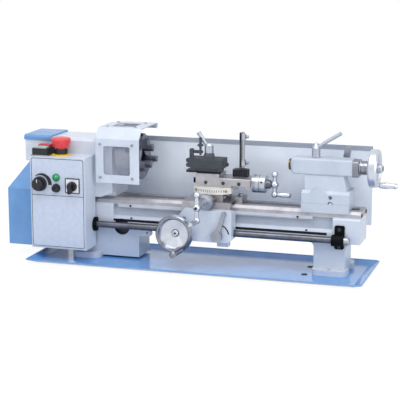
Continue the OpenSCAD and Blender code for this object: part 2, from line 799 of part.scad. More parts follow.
module saddle() {
  fit = way_fit(half_w + way_gap);
  lip = half_w + way_gap;
  color(casting_paint) difference() {
    union() {
      along_x(saddle_left, saddle_right)
        polygon(concat([[saddle_front, saddle_top], [saddle_front, bed_top - 12], [-lip, bed_top - 12]],
          fit, [[lip, rail_low - way_gap], [saddle_back, rail_low - way_gap], [saddle_back, saddle_top]]));
      box([saddle_right, -12, bed_top], [saddle_right + 16, web_y, bed_top + 12]);
      along_y(saddle_front, saddle_back)
        polygon([[cross_x - dove_low, saddle_top], [cross_x + dove_low, saddle_top],
                 [cross_x + dove_high, saddle_top + dove_h], [cross_x - dove_high, saddle_top + dove_h]]);
      translate([cross_x, 0, cross_z]) rod_y(saddle_front - 8, saddle_front + over, 11);
    }
    box([cross_x - screw_r - 1, saddle_front + 6, cross_z - screw_r - 1],
        [cross_x + screw_r + 1, saddle_back + over, saddle_top + dove_h + over]);
    translate([cross_x, 0, cross_z]) rod_y(saddle_front - 9, saddle_front + 7, screw_r + run_gap);
  }
}

module keeper_plate() {
  color(dark_steel)
    box([saddle_left, web_y + 1, rail_low - 7], [saddle_right, saddle_back, rail_low - way_gap]);
}

module apron_outline(wall) {
  polygon([[apron_left + wall, apron_low + 8 + wall / 2], [apron_left + 8 + wall / 2, apron_low + wall],
           [apron_right - 8 - wall / 2, apron_low + wall], [apron_right - wall, apron_low + 8 + wall / 2],
           [apron_right - wall, apron_top - wall], [-28 + wall / 4, apron_top - wall],
           [apron_left + wall, wheel_z + 3 - wall / 4]]);
}

module apron() {
  color(casting_paint) difference() {
    union() {
      difference() {
        along_y(apron_front, apron_back) apron_outline(0);
        along_y(apron_front + apron_wall, apron_back + over) apron_outline(apron_wall);
      }
      translate([apron_idler[0], 0, apron_idler[1]])
        rod_y(apron_front + 1, apron_gear_y[1] + 0.5, shaft_r);
      for (x = [nut_x[0] - guide_w, nut_x[1]])
        box([x + guide_gap * (x < nut_x[1] ? -1 : 1), apron_front + 9.5, apron_low + 1],
            [x + guide_w + guide_gap * (x < nut_x[1] ? -1 : 1), lead_y + 7, apron_top - 1]);
    }
    translate([0, lead_y, lead_z]) rod_x(apron_left - over, apron_right + over, lead_r + 2);
    box([apron_left, saddle_front, bed_top - 12],
        [apron_right + over, apron_back + over, apron_top + over]);
    translate([wheel_x, 0, wheel_z]) rod_y(apron_front - over, apron_front + 5, 6 + run_gap);
    translate([pinion_at[0], 0, pinion_at[1]]) rod_y(apron_front - over, apron_front + 5, 4 + run_gap);
    translate([lever_at[0], 0, lever_at[1]]) rod_y(apron_front - over, apron_front + 5, 5 + run_gap);
    box([nut_x[0] - 0.5, apron_front + apron_wall, apron_low - over],
        [nut_x[1] + 0.5, apron_back + over, lead_z]);
  }
}

module apron_wheel() {
  r = wheel_d / 2;
  rim = r - 9.5;
  front = apron_front;
  color(ground_steel) translate([wheel_x, 0, wheel_z]) {
    turned_y([[0, apron_gear_y[1]], [6, apron_gear_y[1]], [6, front - 1.5], [12, front - 1.5],
              [12, front - 6], [rim, front - 12], [r - 2.5, front - 13], [r, front - 16], [r, front - 24],
              [r - 2.5, front - 27], [r - 6.5, front - 27], [rim, front - 23], [rim - 1, front - 18],
              [7, front - 12], [7, front - 14], [5, front - 16], [0, front - 16]]);
    along_y(apron_gear_y[0], apron_gear_y[1]) gear(wheel_teeth, fine_m, wheel_phase);
    rotate([0, 57, 0]) translate([rim + 3, 0, 0])
      turned_y([[0, front - 15], [4, front - 15], [4, front - 29], [6, front - 31], [7.5, front - 46],
                [6, front - 80], [7, front - 87], [4, front - 91], [0, front - 91]]);
  }
}

pinion_phase = 90;
idler_phase = mesh(pinion_teeth, pinion_phase, apron_idler_teeth, bearing_to(pinion_at, apron_idler));
wheel_phase = mesh(apron_idler_teeth, idler_phase, wheel_teeth,
                   bearing_to(apron_idler, [wheel_x, wheel_z]));

module apron_idler() {
  color(ground_steel) translate([apron_idler[0], 0, apron_idler[1]])
    along_y(apron_gear_y[0], apron_gear_y[1]) difference() {
      gear(apron_idler_teeth, fine_m, idler_phase);
      circle(shaft_r + run_gap);
    }
}

module rack_pinion() {
  color(ground_steel) translate([pinion_at[0], 0, pinion_at[1]]) {
    along_y(apron_gear_y[0], -web_y - 0.5) gear(pinion_teeth, fine_m, pinion_phase);
    rod_y(apron_front + 1, apron_gear_y[0] + over, 4);
  }
}

module half_nut_lever() {
  front = apron_front;
  color(dark_steel) translate([lever_at[0], 0, lever_at[1]]) {
    rod_y(front - 10, front - 0.3, 12);
    rod_y(front - over, front + 8, 5);
    rod_y(front + apron_wall + 0.3, front + 9, 10);
    rotate([0, lever_tilt, 0]) {
      along_y(front - 8, front - 3) polygon([[-6, 0], [-3.5, lever_l], [3.5, lever_l], [6, 0]]);
      translate([0, 0, lever_l]) rod_y(front - 9, front - 2, 5);
    }
  }
}

// Half of the nut, drawn closed on the lead screw and moved open
module half_nut(side) {
  near = 0.2;
  far = side > 0 ? 20 : 23;
  low = side > 0 ? near : -far;
  high = side > 0 ? far : -near;
  color("#b98d3e") translate([0, lead_y, lead_z + side * nut_open]) difference() {
    box([nut_x[0], -12, low], [nut_x[1], 7, high]);
    rod_x(nut_x[0] - over, nut_x[1] + over, lead_r + way_gap);
  }
}

module upper_half_nut() half_nut(1);
module lower_half_nut() half_nut(-1);

// Dovetail slot that clears a dovetail of the given half widths, standing on a given height
module dove_slot(low, high, z) {
  polygon([[-low - dove_gap, z - over], [low + dove_gap, z - over], [low + dove_gap, z],
           [high + dove_gap, z + dove_h], [high, z + dove_h + dove_gap], [-high, z + dove_h + dove_gap],
           [-high - dove_gap, z + dove_h], [-low - dove_gap, z]]);
}

module cross_slide() {
  half = cross_w / 2;
  low = saddle_top + way_gap;
  color(ground_steel) difference() {
    along_y(cross_y[0], cross_y[1])
      polygon([[cross_x - half, low], [cross_x - half, cross_top - 2], [cross_x - half + 2, cross_top],
               [cross_x + half - 2, cross_top], [cross_x + half, cross_top - 2], [cross_x + half, low]]);
    along_y(cross_y[0] - over, cross_y[1] + over)
      translate([cross_x, 0]) dove_slot(dove_low, dove_high, saddle_top);
    translate([swivel_at[0], swivel_at[1], 0])
      rod_z(cross_top - pivot_h, cross_top + over, pivot_r + run_gap);
  }
}

module cross_crank() {
  color(ground_steel) translate([cross_x, 0, cross_z]) {
    rod_y(crank_y, saddle_back - 8, screw_r);
    translate([0, crank_y, 0]) crank_arms(crank_arm);
    translate([0, crank_y, -crank_arm])
      turned_y([[0, 0], [3, 0], [3, -7], [4.5, -9], [6, -22], [4.5, -40], [5, -45], [3, -48], [0, -48]]);
  }
}

module cross_dial() {
  back = saddle_front - 8.3;
  color(ground_steel) translate([cross_x, 0, cross_z])
    turned_y([[screw_r + hub_gap, back], [16.5, back], [16.5, back - 14], [12, back - 22], [9, back - 34],
              [8, back - 52], [screw_r + hub_gap, back - 52]]);
}

module swivel_base() {
  color("#d8cfb2") {
    translate([swivel_at[0], swivel_at[1], 0])
      rod_z(cross_top - pivot_h + way_gap, cross_top + over, pivot_r);
    translate([swivel_at[0], swivel_at[1], cross_top]) linear_extrude(rail_z - cross_top) intersection() {
      translate([0, swivel_r - swivel_front]) circle(swivel_r);
      translate([-swivel_w / 2, -swivel_front]) square([swivel_w, 2 * swivel_front - 10]);
    }
    difference() {
      union() {
        box([top_rail_x[0], 4 - slide_y, rail_z], [top_rail_x[1], slide_y - 4, slide_z]);
        along_x(top_rail_x[0], top_rail_x[1])
          polygon([[-top_dove_low, slide_z], [top_dove_low, slide_z], [top_dove_high, slide_z + dove_h],
                   [-top_dove_high, slide_z + dove_h]]);
      }
      box([top_rail_x[0] - over, -screw_r - 1, rail_z + 1.5],
          [top_rail_x[1] + over, screw_r + 1, slide_z + 9]);
    }
  }
}

module top_slide() {
  low = slide_z + way_gap;
  end_x = slide_x[1] - 10;
  color(casting_paint) difference() {
    union() {
      along_x(slide_x[0], slide_x[1])
        polygon([[-slide_y, low], [-slide_y, slide_top - 1], [1 - slide_y, slide_top],
                 [slide_y - 1, slide_top], [slide_y, slide_top - 1], [slide_y, low]]);
      box([slide_x[0], -slide_y, slide_top - 4], [seat_x, slide_y, seat_z]);
      translate([post_x, 0, 0]) rod_z(seat_z - over, post_top + 20, post_stud_r);
      box([end_x, -16, slide_z - 10], [slide_x[1], 16, slide_z + over]);
    }
    along_x(slide_x[0] - over, end_x)
      dove_slot(top_dove_low, top_dove_high, slide_z);
    box([slide_x[0] - over, -screw_r - 1, slide_z - over], [end_x, screw_r + 1, top_z + screw_r + 1]);
    translate([0, 0, top_z]) rod_x(end_x - over, slide_x[1] + over, screw_r + run_gap);
  }
}

module top_crank() {
  color(ground_steel) translate([0, 0, top_z]) {
    rod_x(0, top_crank_x, screw_r);
    translate([top_crank_x, 0, 0]) crank_arms(top_arm);
    translate([top_crank_x, 0, -top_arm])
      turned_x([[0, 0], [3, 0], [3, 6], [4.5, 8], [5.5, 18], [4.5, 30], [5, 33], [3, 36], [0, 36]]);
  }
}

module top_dial() {
  left = slide_x[1] + 0.3;
  color(ground_steel) translate([0, 0, top_z])
    turned_x([[screw_r + hub_gap, left], [19, left], [19, left + 28], [18, left + 29], [10, left + 29],
              [9, left + 38], [screw_r + hub_gap, left + 38]]);
}

module tool_post() {
  block = post_plate + tool_slot;
  color(dark_steel) translate([post_x, 0, seat_z]) difference() {
    union() {
      box([-post_half[0] - post_shift - 4, 3 - post_half[1], 0],
          [post_half[0] - post_shift - 7, post_half[1] - 3, post_plate]);
      box([-post_neck[0], -post_neck[1], post_plate - over], [post_neck[0], post_neck[1], block + over]);
      translate([-post_shift, 0, block]) linear_extrude(post_top - seat_z - block)
        round_rect(-post_half, post_half, 2);
    }
    rod_z(-over, post_top, post_stud_r + run_gap);
  }
}

module tool_post_lever() {
  base = post_top + 0.3;
  color(ground_steel) translate([post_x, 0, base]) {
    difference() {
      union() {
        rotate_extrude() polygon([[0, 0], [12, 0], [12, 7], [10, 9], [10, 27], [8, 30], [0, 30]]);
        translate([-4, 0, 24]) rotate([0, -34, 0]) {
          cylinder(h = 34, r = 3.5);
          translate([0, 0, 15]) cylinder(h = 21, r = 4.8);
        }
      }
      rod_z(-over, 22, post_stud_r + run_gap);
    }
  }
}

module shield_post() {
  color(black_paint) {
    box([rod_at[0] - 18, rod_at[1] - 16, slide_top], [rod_at[0] + 14, slide_y - 3, slide_top + 15]);
    translate([rod_at[0], rod_at[1], 0]) rod_z(slide_top + 14, slide_top + 94, rod_r);
  }
}

module tool_shield() {
  low = slide_top + 18;
  high = slide_top + 94;
  collar = [[low + 4, low + 16], [high - 16, high - 4]];
  t = 1.5;
  front = -50;
  bend_x = 58;
  color(clear_sheet) difference() {
    union() {
      translate([0, 0, low]) linear_extrude(high - low)
        polygon([[-33, front - t], [bend_x + t, front - t], [rod_at[0], 15.5], [rod_at[0] - 2 * t, 16],
                 [bend_x - t, front + t], [-33, front + t]]);
      for (z = collar) translate([rod_at[0], rod_at[1], 0]) rod_z(z[0], z[1], 7.5);
    }
    translate([rod_at[0], rod_at[1], 0]) rod_z(low - over, high + over, rod_r + run_gap);
  }
}

module tail_base() {
  lip = half_w + 3;
  color(casting_paint) {
    along_x(tail_left, tail_right) polygon(concat([[-lip, plate_top]], way_fit(lip), [[lip, plate_top]]));
    translate([tail_x, 0, 0]) {
      rod_z(rail_low - 17, bed_top + over, 6);
      box([-14, web_t + 1 - web_y, rail_low - 14], [14, web_y - web_t - 1, rail_low - way_gap]);
    }
  }
}

module tail_body() {
  neck_low = [[tail_left + 6, -26, block_top - 4], [tail_right - 6, 26, block_top - 3]];
  neck_high = [[tail_left + 2, -17, barrel_low + 3], [tail_right - 17, 17, barrel_low + 4]];
  color(casting_paint) difference() {
    union() {
      along_x(tail_left, tail_right)
        polygon([[-32, plate_top], [-32, block_top - 6], [-26, block_top], [26, block_top],
                 [32, block_top - 6], [32, plate_top]]);
      along_y(-32, -20) intersection() {
        translate([tail_left + 35, block_top - 14]) circle(20);
        translate([tail_left, plate_top]) square([tail_l, block_top]);
      }
      hull() {
        box(neck_low[0], neck_low[1]);
        box(neck_high[0], neck_high[1]);
      }
      along_x(barrel_x[0] + 4, barrel_x[1]) round_rect([-21, barrel_low], [21, barrel_high], 4);
      along_x(barrel_x[0], barrel_x[0] + 5) round_rect([-18, barrel_low + 3], [18, barrel_high - 3], 4);
      along_x(barrel_x[1] - over, tail_cap_x) round_rect([-20, barrel_low - 1], [20, barrel_high - 2], 4);
    }
    translate([0, 0, axis_z]) {
      rod_x(barrel_x[0] - over, barrel_x[1] - 4, quill_r + run_gap);
      rod_x(barrel_x[1] - 5, tail_cap_x + over, tail_screw_r + run_gap);
    }
    translate([clamp_at[0], 0, clamp_at[1]]) rod_y(12, 40, 6 + run_gap);
    translate([tail_left + 61, 0, plate_top + 14]) rod_y(-40, -22, 4);
    translate([tail_left + 61, 0, plate_top]) rod_y(-40, -22, 5.5);
  }
}

module quill() {
  color(ground_steel) translate([0, 0, axis_z])
    turned_x([[8.9, quill_nose], [quill_r - 1, quill_nose], [quill_r, quill_nose + 1],
              [quill_r, barrel_x[1] - 15], [5.6, barrel_x[1] - 15], [5.6, quill_nose + 55],
              [7.2, quill_nose + 54]]);
}

module tail_wheel() {
  r = tail_wheel_d / 2;
  left = tail_cap_x + 0.5;
  color(ground_steel) translate([0, 0, axis_z]) {
    turned_x([[0, quill_nose + 60], [tail_screw_r, quill_nose + 60], [tail_screw_r, left], [14, left],
              [14, left + 18], [9, left + 20], [9, left + 24], [r - 9, left + 26], [r - 7, left + 22],
              [r - 2, left + 21], [r, left + 24], [r, left + 36], [r - 2, left + 39], [r - 6, left + 39],
              [r - 8, left + 34], [10, left + 32], [10, left + 44], [7, left + 47], [0, left + 47]]);
    rotate([72, 0, 0]) translate([0, 5.5 - r, 0])
      turned_x([[0, left + 30], [4, left + 30], [4, left + 42], [6, left + 44], [7, left + 58],
                [5.5, left + 72], [6.5, left + 76], [4, left + 80], [0, left + 80]]);
  }
}

module quill_lock() {
  color(dark_steel) translate([lock_x, 0, barrel_high + 0.3]) {
    rotate_extrude() polygon([[0, 0], [9, 0], [9, 20], [3, 30], [0, 31]]);
    translate([0, 0, 20]) rotate([0, 58, 0]) {
      cylinder(h = 60, r = 3);
      translate([0, 0, 18]) cylinder(h = 44, r = 4);
    }
  }
}

module tail_clamp() {
  near = half_w + 4;
  color(dark_steel) translate([clamp_at[0], 0, clamp_at[1]]) {
    rod_y(13, near + over, 6);
    rod_y(near, near + 7, 9);
    rotate([0, 8, 0]) along_y(near + 1, near + 6)
      polygon([[-6, 0], [-7, 96], [-4, 100], [4, 100], [7, 96], [6, 0]]);
  }
}

chip_tray();
bed();
rack();
headstock();
spindle_bearings();
head_cap();
end_cover();
gear_plate();
motor();
drive_belt();
lead_brackets();
control_box();
control_panel();
switch_frame();
stop_base();
guard_hinge();
splash_guard();
spindle();
spindle_pulley();
chuck_body();
chuck_jaw_1();
chuck_jaw_2();
chuck_jaw_3();
motor_pulley();
idler_gear_1();
idler_gear_2();
lead_screw();
chuck_guard();
guard_windows();
saddle();
apron();
keeper_plate();
apron_wheel();
apron_idler();
rack_pinion();
half_nut_lever();
upper_half_nut();
lower_half_nut();
cross_slide();
cross_crank();
cross_dial();
swivel_base();
top_slide();
top_dial();
top_crank();
tool_post();
tool_post_lever();
shield_post();
tool_shield();
tail_base();
tail_body();
quill();
tail_wheel();
quill_lock();
tail_clamp();
start_button();
stop_button();
stop_mushroom();
speed_knob();
direction_knob();
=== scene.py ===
import math
import bpy
import bmesh
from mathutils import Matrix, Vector


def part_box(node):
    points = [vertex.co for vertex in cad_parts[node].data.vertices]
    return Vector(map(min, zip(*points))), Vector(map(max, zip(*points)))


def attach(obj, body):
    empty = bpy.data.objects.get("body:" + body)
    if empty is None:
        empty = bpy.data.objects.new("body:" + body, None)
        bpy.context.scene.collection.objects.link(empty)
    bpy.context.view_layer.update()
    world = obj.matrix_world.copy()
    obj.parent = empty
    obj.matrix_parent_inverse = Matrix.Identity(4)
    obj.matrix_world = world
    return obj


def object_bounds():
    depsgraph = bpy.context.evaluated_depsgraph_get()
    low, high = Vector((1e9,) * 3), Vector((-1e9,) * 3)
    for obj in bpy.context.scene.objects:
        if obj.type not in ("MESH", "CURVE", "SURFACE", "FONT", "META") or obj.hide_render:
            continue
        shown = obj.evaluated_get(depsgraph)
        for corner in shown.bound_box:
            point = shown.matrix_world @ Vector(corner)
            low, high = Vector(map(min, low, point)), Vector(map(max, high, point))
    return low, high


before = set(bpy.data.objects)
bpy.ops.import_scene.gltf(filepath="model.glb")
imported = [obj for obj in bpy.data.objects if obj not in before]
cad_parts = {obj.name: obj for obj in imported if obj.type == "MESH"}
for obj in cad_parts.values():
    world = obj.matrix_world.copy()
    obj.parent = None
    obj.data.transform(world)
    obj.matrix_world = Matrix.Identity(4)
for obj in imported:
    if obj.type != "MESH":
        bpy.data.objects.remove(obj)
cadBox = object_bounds()
mm = 0.001
print("frame loaded:", len(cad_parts), "nodes")


def linear(hexColour):  # sRGB hex to the linear values that sockets take
    parts = [int(hexColour[i:i + 2], 16) / 255 for i in (1, 3, 5)]
    return tuple(c / 12.92 if c <= 0.04045 else ((c + 0.055) / 1.055) ** 2.4 for c in parts) + (1.0,)


def addNode(tree, kind, settings={}, links={}):
    made = tree.nodes.new(kind)
    for key, value in settings.items():
        if key == "stops":  # places and colours along a ramp
            for stop, (place, colour) in zip(made.color_ramp.elements, value):
                stop.position = place
                stop.color = linear(colour)
        elif isinstance(key, str) and hasattr(made, key):
            setattr(made, key, value)
        else:
            made.inputs[key].default_value = value
    for key, (source, output) in links.items():
        tree.links.new(source.outputs[output], made.inputs[key])
    return made


def makeFinish(name, coat):
    made = bpy.data.materials.new(name)
    made.use_nodes = True
    tree = made.node_tree
    tree.nodes.clear()
    coords = addNode(tree, "ShaderNodeTexCoord")
    addNode(tree, "ShaderNodeOutputMaterial", {}, {"Surface": (coat(tree, coords), 0)})
    return made


# Boxes, low and high corner in mm, in which a CAD piece has another coat than on the rest of it
patches = {
    "ways": ((-400, -40, 123), (400, 40, 140)),
    # painted shade: near-black inside the leg's recess
    "legRecessShade": ((-199, -33.7, 53), (-163, -21.7, 91)),
    # painted shade: the bed's web under the ways gets a darker, duller paint
    "bedWebShade": ((-205, -28, 96), (290, 28, 122.5)),
    # painted shade: near-black inside the groove under the ledge
    "ledgeGrooveShade": ((-201, -35.8, 83.9), (275, -27.9, 89.6)),
    # painted shade: the splash guard's bent lip
    "splashLipShade": ((-400, 40, 246.5), (400, 140, 300)),
    "directionPlate": ((-290, -101, 150), (-245, -98.9, 190)),
    "leadScrewEnd": ((311, -60, 60), (330, -30, 90)),
    "quillNose": ((180, -20, 200), (185, 20, 250)),
    # painted shade: dark band in the gap behind the quill's nose
    "quillGapShade": ((185, -20, 200), (188.5, 20, 250)),
    "topDialNeck": ((134.5, -30, 150), (145, 30, 210)),
    "postLeverFoot": ((-8, -15, 226), (22, 15, 239.5)),
    "wheelGrip": ((-100, -170, 0), (40, -93.5, 120)),
    "shieldRod": ((60, 0, 206), (95, 40, 300)),
    "shieldClamps": ((66.5, 12.4, 205), (90, 30, 290)),
    "tailCap": ((320.2, -30, 200), (335, 30, 245)),
    "stopCollar": ((-340, -90, 231.7), (-280, -40, 250)),
}


def patchCoat(patch, inside, outside):
    def coat(tree, coords):
        low, high = (Vector(corner) for corner in patches[patch])
        middle, half = (low + high) / 2 * mm, (high - low) / 2 * mm
        away = addNode(tree, "ShaderNodeVectorMath", {"operation": "SUBTRACT", 1: middle},
                       {0: (coords, "Object")})
        away = addNode(tree, "ShaderNodeVectorMath", {"operation": "ABSOLUTE"}, {0: (away, "Vector")})
        past = addNode(tree, "ShaderNodeVectorMath", {"operation": "SUBTRACT", 1: half},
                       {0: (away, "Vector")})
        parts = addNode(tree, "ShaderNodeSeparateXYZ", {}, {0: (past, "Vector")})
        flat = addNode(tree, "ShaderNodeMath", {"operation": "MAXIMUM"}, {0: (parts, "X"), 1: (parts, "Y")})
        most = addNode(tree, "ShaderNodeMath", {"operation": "MAXIMUM"},
                       {0: (flat, "Value"), 1: (parts, "Z")})
        within = addNode(tree, "ShaderNodeMath", {"operation": "LESS_THAN", 1: 0.0}, {0: (most, "Value")})
        return addNode(tree, "ShaderNodeMixShader", {},
                       {0: (within, "Value"), 1: (outside(tree, coords), 0), 2: (inside(tree, coords), 0)})
    return coat


# Enamel sprayed on filled castings and sheet: slight orange peel, soft gloss, faint rub marks and dust
enamel = {
    "peelSize": 2.2,     # mm between bumps, drawn a little coarse so it shows
    "peelHeight": 0.05,  # mm
    "rubSize": 45,       # mm
    "edgeRound": 0.9,    # mm
}


def enamelCoat(colour, shade, gloss):
    def coat(tree, coords):
        spot = {"Vector": (coords, "Object")}
        peel = addNode(tree, "ShaderNodeTexNoise",
                       {"Scale": 1 / (enamel["peelSize"] * mm), "Detail": 2.0}, spot)
        rub = addNode(tree, "ShaderNodeTexNoise",
                      {"Scale": 1 / (enamel["rubSize"] * mm), "Detail": 5.0, "Roughness": 0.6}, spot)
        tone = addNode(tree, "ShaderNodeValToRGB", {"stops": ((0.3, shade), (0.62, colour))},
                       {"Fac": (rub, "Fac")})
        dull = addNode(tree, "ShaderNodeMapRange",
                       {"From Min": 0.3, "From Max": 0.7, "To Min": gloss + 0.1, "To Max": gloss - 0.04},
                       {"Value": (rub, "Fac")})
        soft = addNode(tree, "ShaderNodeBevel", {"samples": 4, "Radius": enamel["edgeRound"] * mm})
        bump = addNode(tree, "ShaderNodeBump", {"Strength": 0.5, "Distance": enamel["peelHeight"] * mm},
                       {"Height": (peel, "Fac"), "Normal": (soft, "Normal")})
        return addNode(tree, "ShaderNodeBsdfPrincipled",
                       {"IOR": 1.5, "Coat Weight": 0.25, "Coat Roughness": 0.12},
                       {"Base Color": (tone, "Color"), "Roughness": (dull, "Result"),
                        "Normal": (bump, "Normal")})
    return coat


# Ground or turned steel: tool lines run one way, stains and handling dull it in patches
steel = {
    "lineSize": 1.1,      # mm between tool lines, drawn coarse so they show
    "lineLength": 60,     # mm
    "lineHeight": 0.012,  # mm
    "polished": 0.004,    # mm, line height after polishing or plating
    "stainSize": 24,      # mm
    "edgeRound": 0.5,     # mm
    "faceStretch": 0.8,   # how far a turned face draws out its highlights
    "faceTurn": 0.25,     # a quarter turn: across the tool rings
}


def steelCoat(colour, shade, gloss, run, lineHeight=steel["lineHeight"], faced=""):
    def coat(tree, coords):
        spot = {"Vector": (coords, "Object")}
        stretch = [1 / (steel["lineSize"] * mm)] * 3
        stretch[run] = 1 / (steel["lineLength"] * mm)
        drawn = addNode(tree, "ShaderNodeMapping", {"Scale": stretch}, spot)
        lines = addNode(tree, "ShaderNodeTexNoise", {"Scale": 1.0, "Detail": 3.0},
                        {"Vector": (drawn, "Vector")})
        stain = addNode(tree, "ShaderNodeTexNoise",
                        {"Scale": 1 / (steel["stainSize"] * mm), "Detail": 6.0, "Roughness": 0.65}, spot)
        tone = addNode(tree, "ShaderNodeValToRGB", {"stops": ((0.32, shade), (0.6, colour))},
                       {"Fac": (stain, "Fac")})
        dull = addNode(tree, "ShaderNodeMapRange",
                       {"From Min": 0.25, "From Max": 0.75, "To Min": gloss - 0.07, "To Max": gloss + 0.12},
                       {"Value": (lines, "Fac")})
        soft = addNode(tree, "ShaderNodeBevel", {"samples": 4, "Radius": steel["edgeRound"] * mm})
        bump = addNode(tree, "ShaderNodeBump", {"Strength": 0.4, "Distance": lineHeight * mm},
                       {"Height": (lines, "Fac"), "Normal": (soft, "Normal")})
        settings = {"Metallic": 1.0}
        links = {"Base Color": (tone, "Color"), "Roughness": (dull, "Result"), "Normal": (bump, "Normal")}
        if faced:  # the axis of a turned face
            around = addNode(tree, "ShaderNodeTangent", {"direction_type": "RADIAL", "axis": faced})
            settings.update({"Anisotropic": steel["faceStretch"], "Anisotropic Rotation": steel["faceTurn"]})
            links["Tangent"] = (around, "Tangent")
        return addNode(tree, "ShaderNodeBsdfPrincipled", settings, links)
    return coat


# Moulded plastic, rubber, film and dipped paint: fine spark-eroded grain, greasy handling patches
mould = {
    "grainSize": 0.7,     # mm, drawn coarse so it shows
    "grainHeight": 0.02,  # mm
    "greaseSize": 9,      # mm
}


def mouldCoat(colour, shade, gloss, ior=1.46):
    def coat(tree, coords):
        spot = {"Vector": (coords, "Object")}
        grain = addNode(tree, "ShaderNodeTexNoise",
                        {"Scale": 1 / (mould["grainSize"] * mm), "Detail": 1.0}, spot)
        grease = addNode(tree, "ShaderNodeTexNoise",
                         {"Scale": 1 / (mould["greaseSize"] * mm), "Detail": 4.0}, spot)
        tone = addNode(tree, "ShaderNodeValToRGB", {"stops": ((0.3, shade), (0.65, colour))},
                       {"Fac": (grease, "Fac")})
        dull = addNode(tree, "ShaderNodeMapRange",
                       {"From Min": 0.3, "From Max": 0.7, "To Min": gloss + 0.08, "To Max": gloss - 0.05},
                       {"Value": (grease, "Fac")})
        bump = addNode(tree, "ShaderNodeBump", {"Strength": 0.3, "Distance": mould["grainHeight"] * mm},
                       {"Height": (grain, "Fac")})
        return addNode(tree, "ShaderNodeBsdfPrincipled", {"IOR": ior},
                       {"Base Color": (tone, "Color"), "Roughness": (dull, "Result"),
                        "Normal": (bump, "Normal")})
    return coat


# Extruded polycarbonate sheet: thin and clear, wiped with a cloth
sheet = {"wipeSize": 18, "ior": 1.3}  # mm, and an IOR that keeps the white room from hazing it


def clearCoat(colour, body):
    def coat(tree, coords):
        wiped = addNode(tree, "ShaderNodeTexNoise", {"Scale": 1 / (sheet["wipeSize"] * mm), "Detail": 5.0},
                        {"Vector": (coords, "Object")})
        dull = addNode(tree, "ShaderNodeMapRange",
                       {"From Min": 0.35, "From Max": 0.7, "To Min": 0.04, "To Max": 0.16},
                       {"Value": (wiped, "Fac")})
        return addNode(tree, "ShaderNodeBsdfPrincipled",
                       {"Base Color": linear(colour), "IOR": sheet["ior"], "Alpha": body},
                       {"Roughness": (dull, "Result")})
    return coat


alongX, alongY, alongZ = 0, 1, 2  # the way that tool lines run
polished = steel["polished"]

# Coats that more than one finish uses
castingPaint = enamelCoat("#c9d1dd", "#bec7d5", 0.42)  # pale grey-blue, even and softly shining
tailShadedPaint = enamelCoat("#bac3d0", "#b0bac8", 0.42)  # the same paint darkened a little: painted shade on the tailstock
webShadePaint = enamelCoat("#a9b2c0", "#9da7b6", 0.5)  # the bed paint made greyer and duller: painted shade under the overhang of the ways
blackMoulding = mouldCoat("#1d1f24", "#15171b", 0.4)  # satin black with a fine grain
oilyIronAndShade = mouldCoat("#2a2d35", "#1c1e24", 0.5, ior=1.5)  # unpainted iron under old oil: nearly black; in the leg recess, the ledge groove and the quill gap it is painted shade
waySteel = steelCoat("#b9b8be", "#a2a2a9", 0.55, alongX)  # long grinding lines, a broad dull shine
turnedSteel = steelCoat("#bcc2ce", "#a7aebb", 0.3, alongZ)  # satin chrome: bright and cool
dullBrass = steelCoat("#a99a6c", "#8f8054", 0.36, alongX)  # brass gone brown
brightBar = steelCoat("#b3b6bd", "#999ca4", 0.32, alongZ)  # drawn bar: clean and even
# painted shade: the inside of the leg's recess is coloured near black
bedCoat = patchCoat("legRecessShade", oilyIronAndShade, castingPaint)
# painted shade on the web under the overhang of the ways
bedCoat = patchCoat("bedWebShade", webShadePaint, bedCoat)
# painted shade: the groove under the ledge is coloured near black
bedCoat = patchCoat("ledgeGrooveShade", oilyIronAndShade, bedCoat)
bedCoat = patchCoat("ways", waySteel, bedCoat)
# painted shade: a near-black band in the gap behind the quill's brass nose
quillCoat = patchCoat("quillGapShade", oilyIronAndShade, turnedSteel)

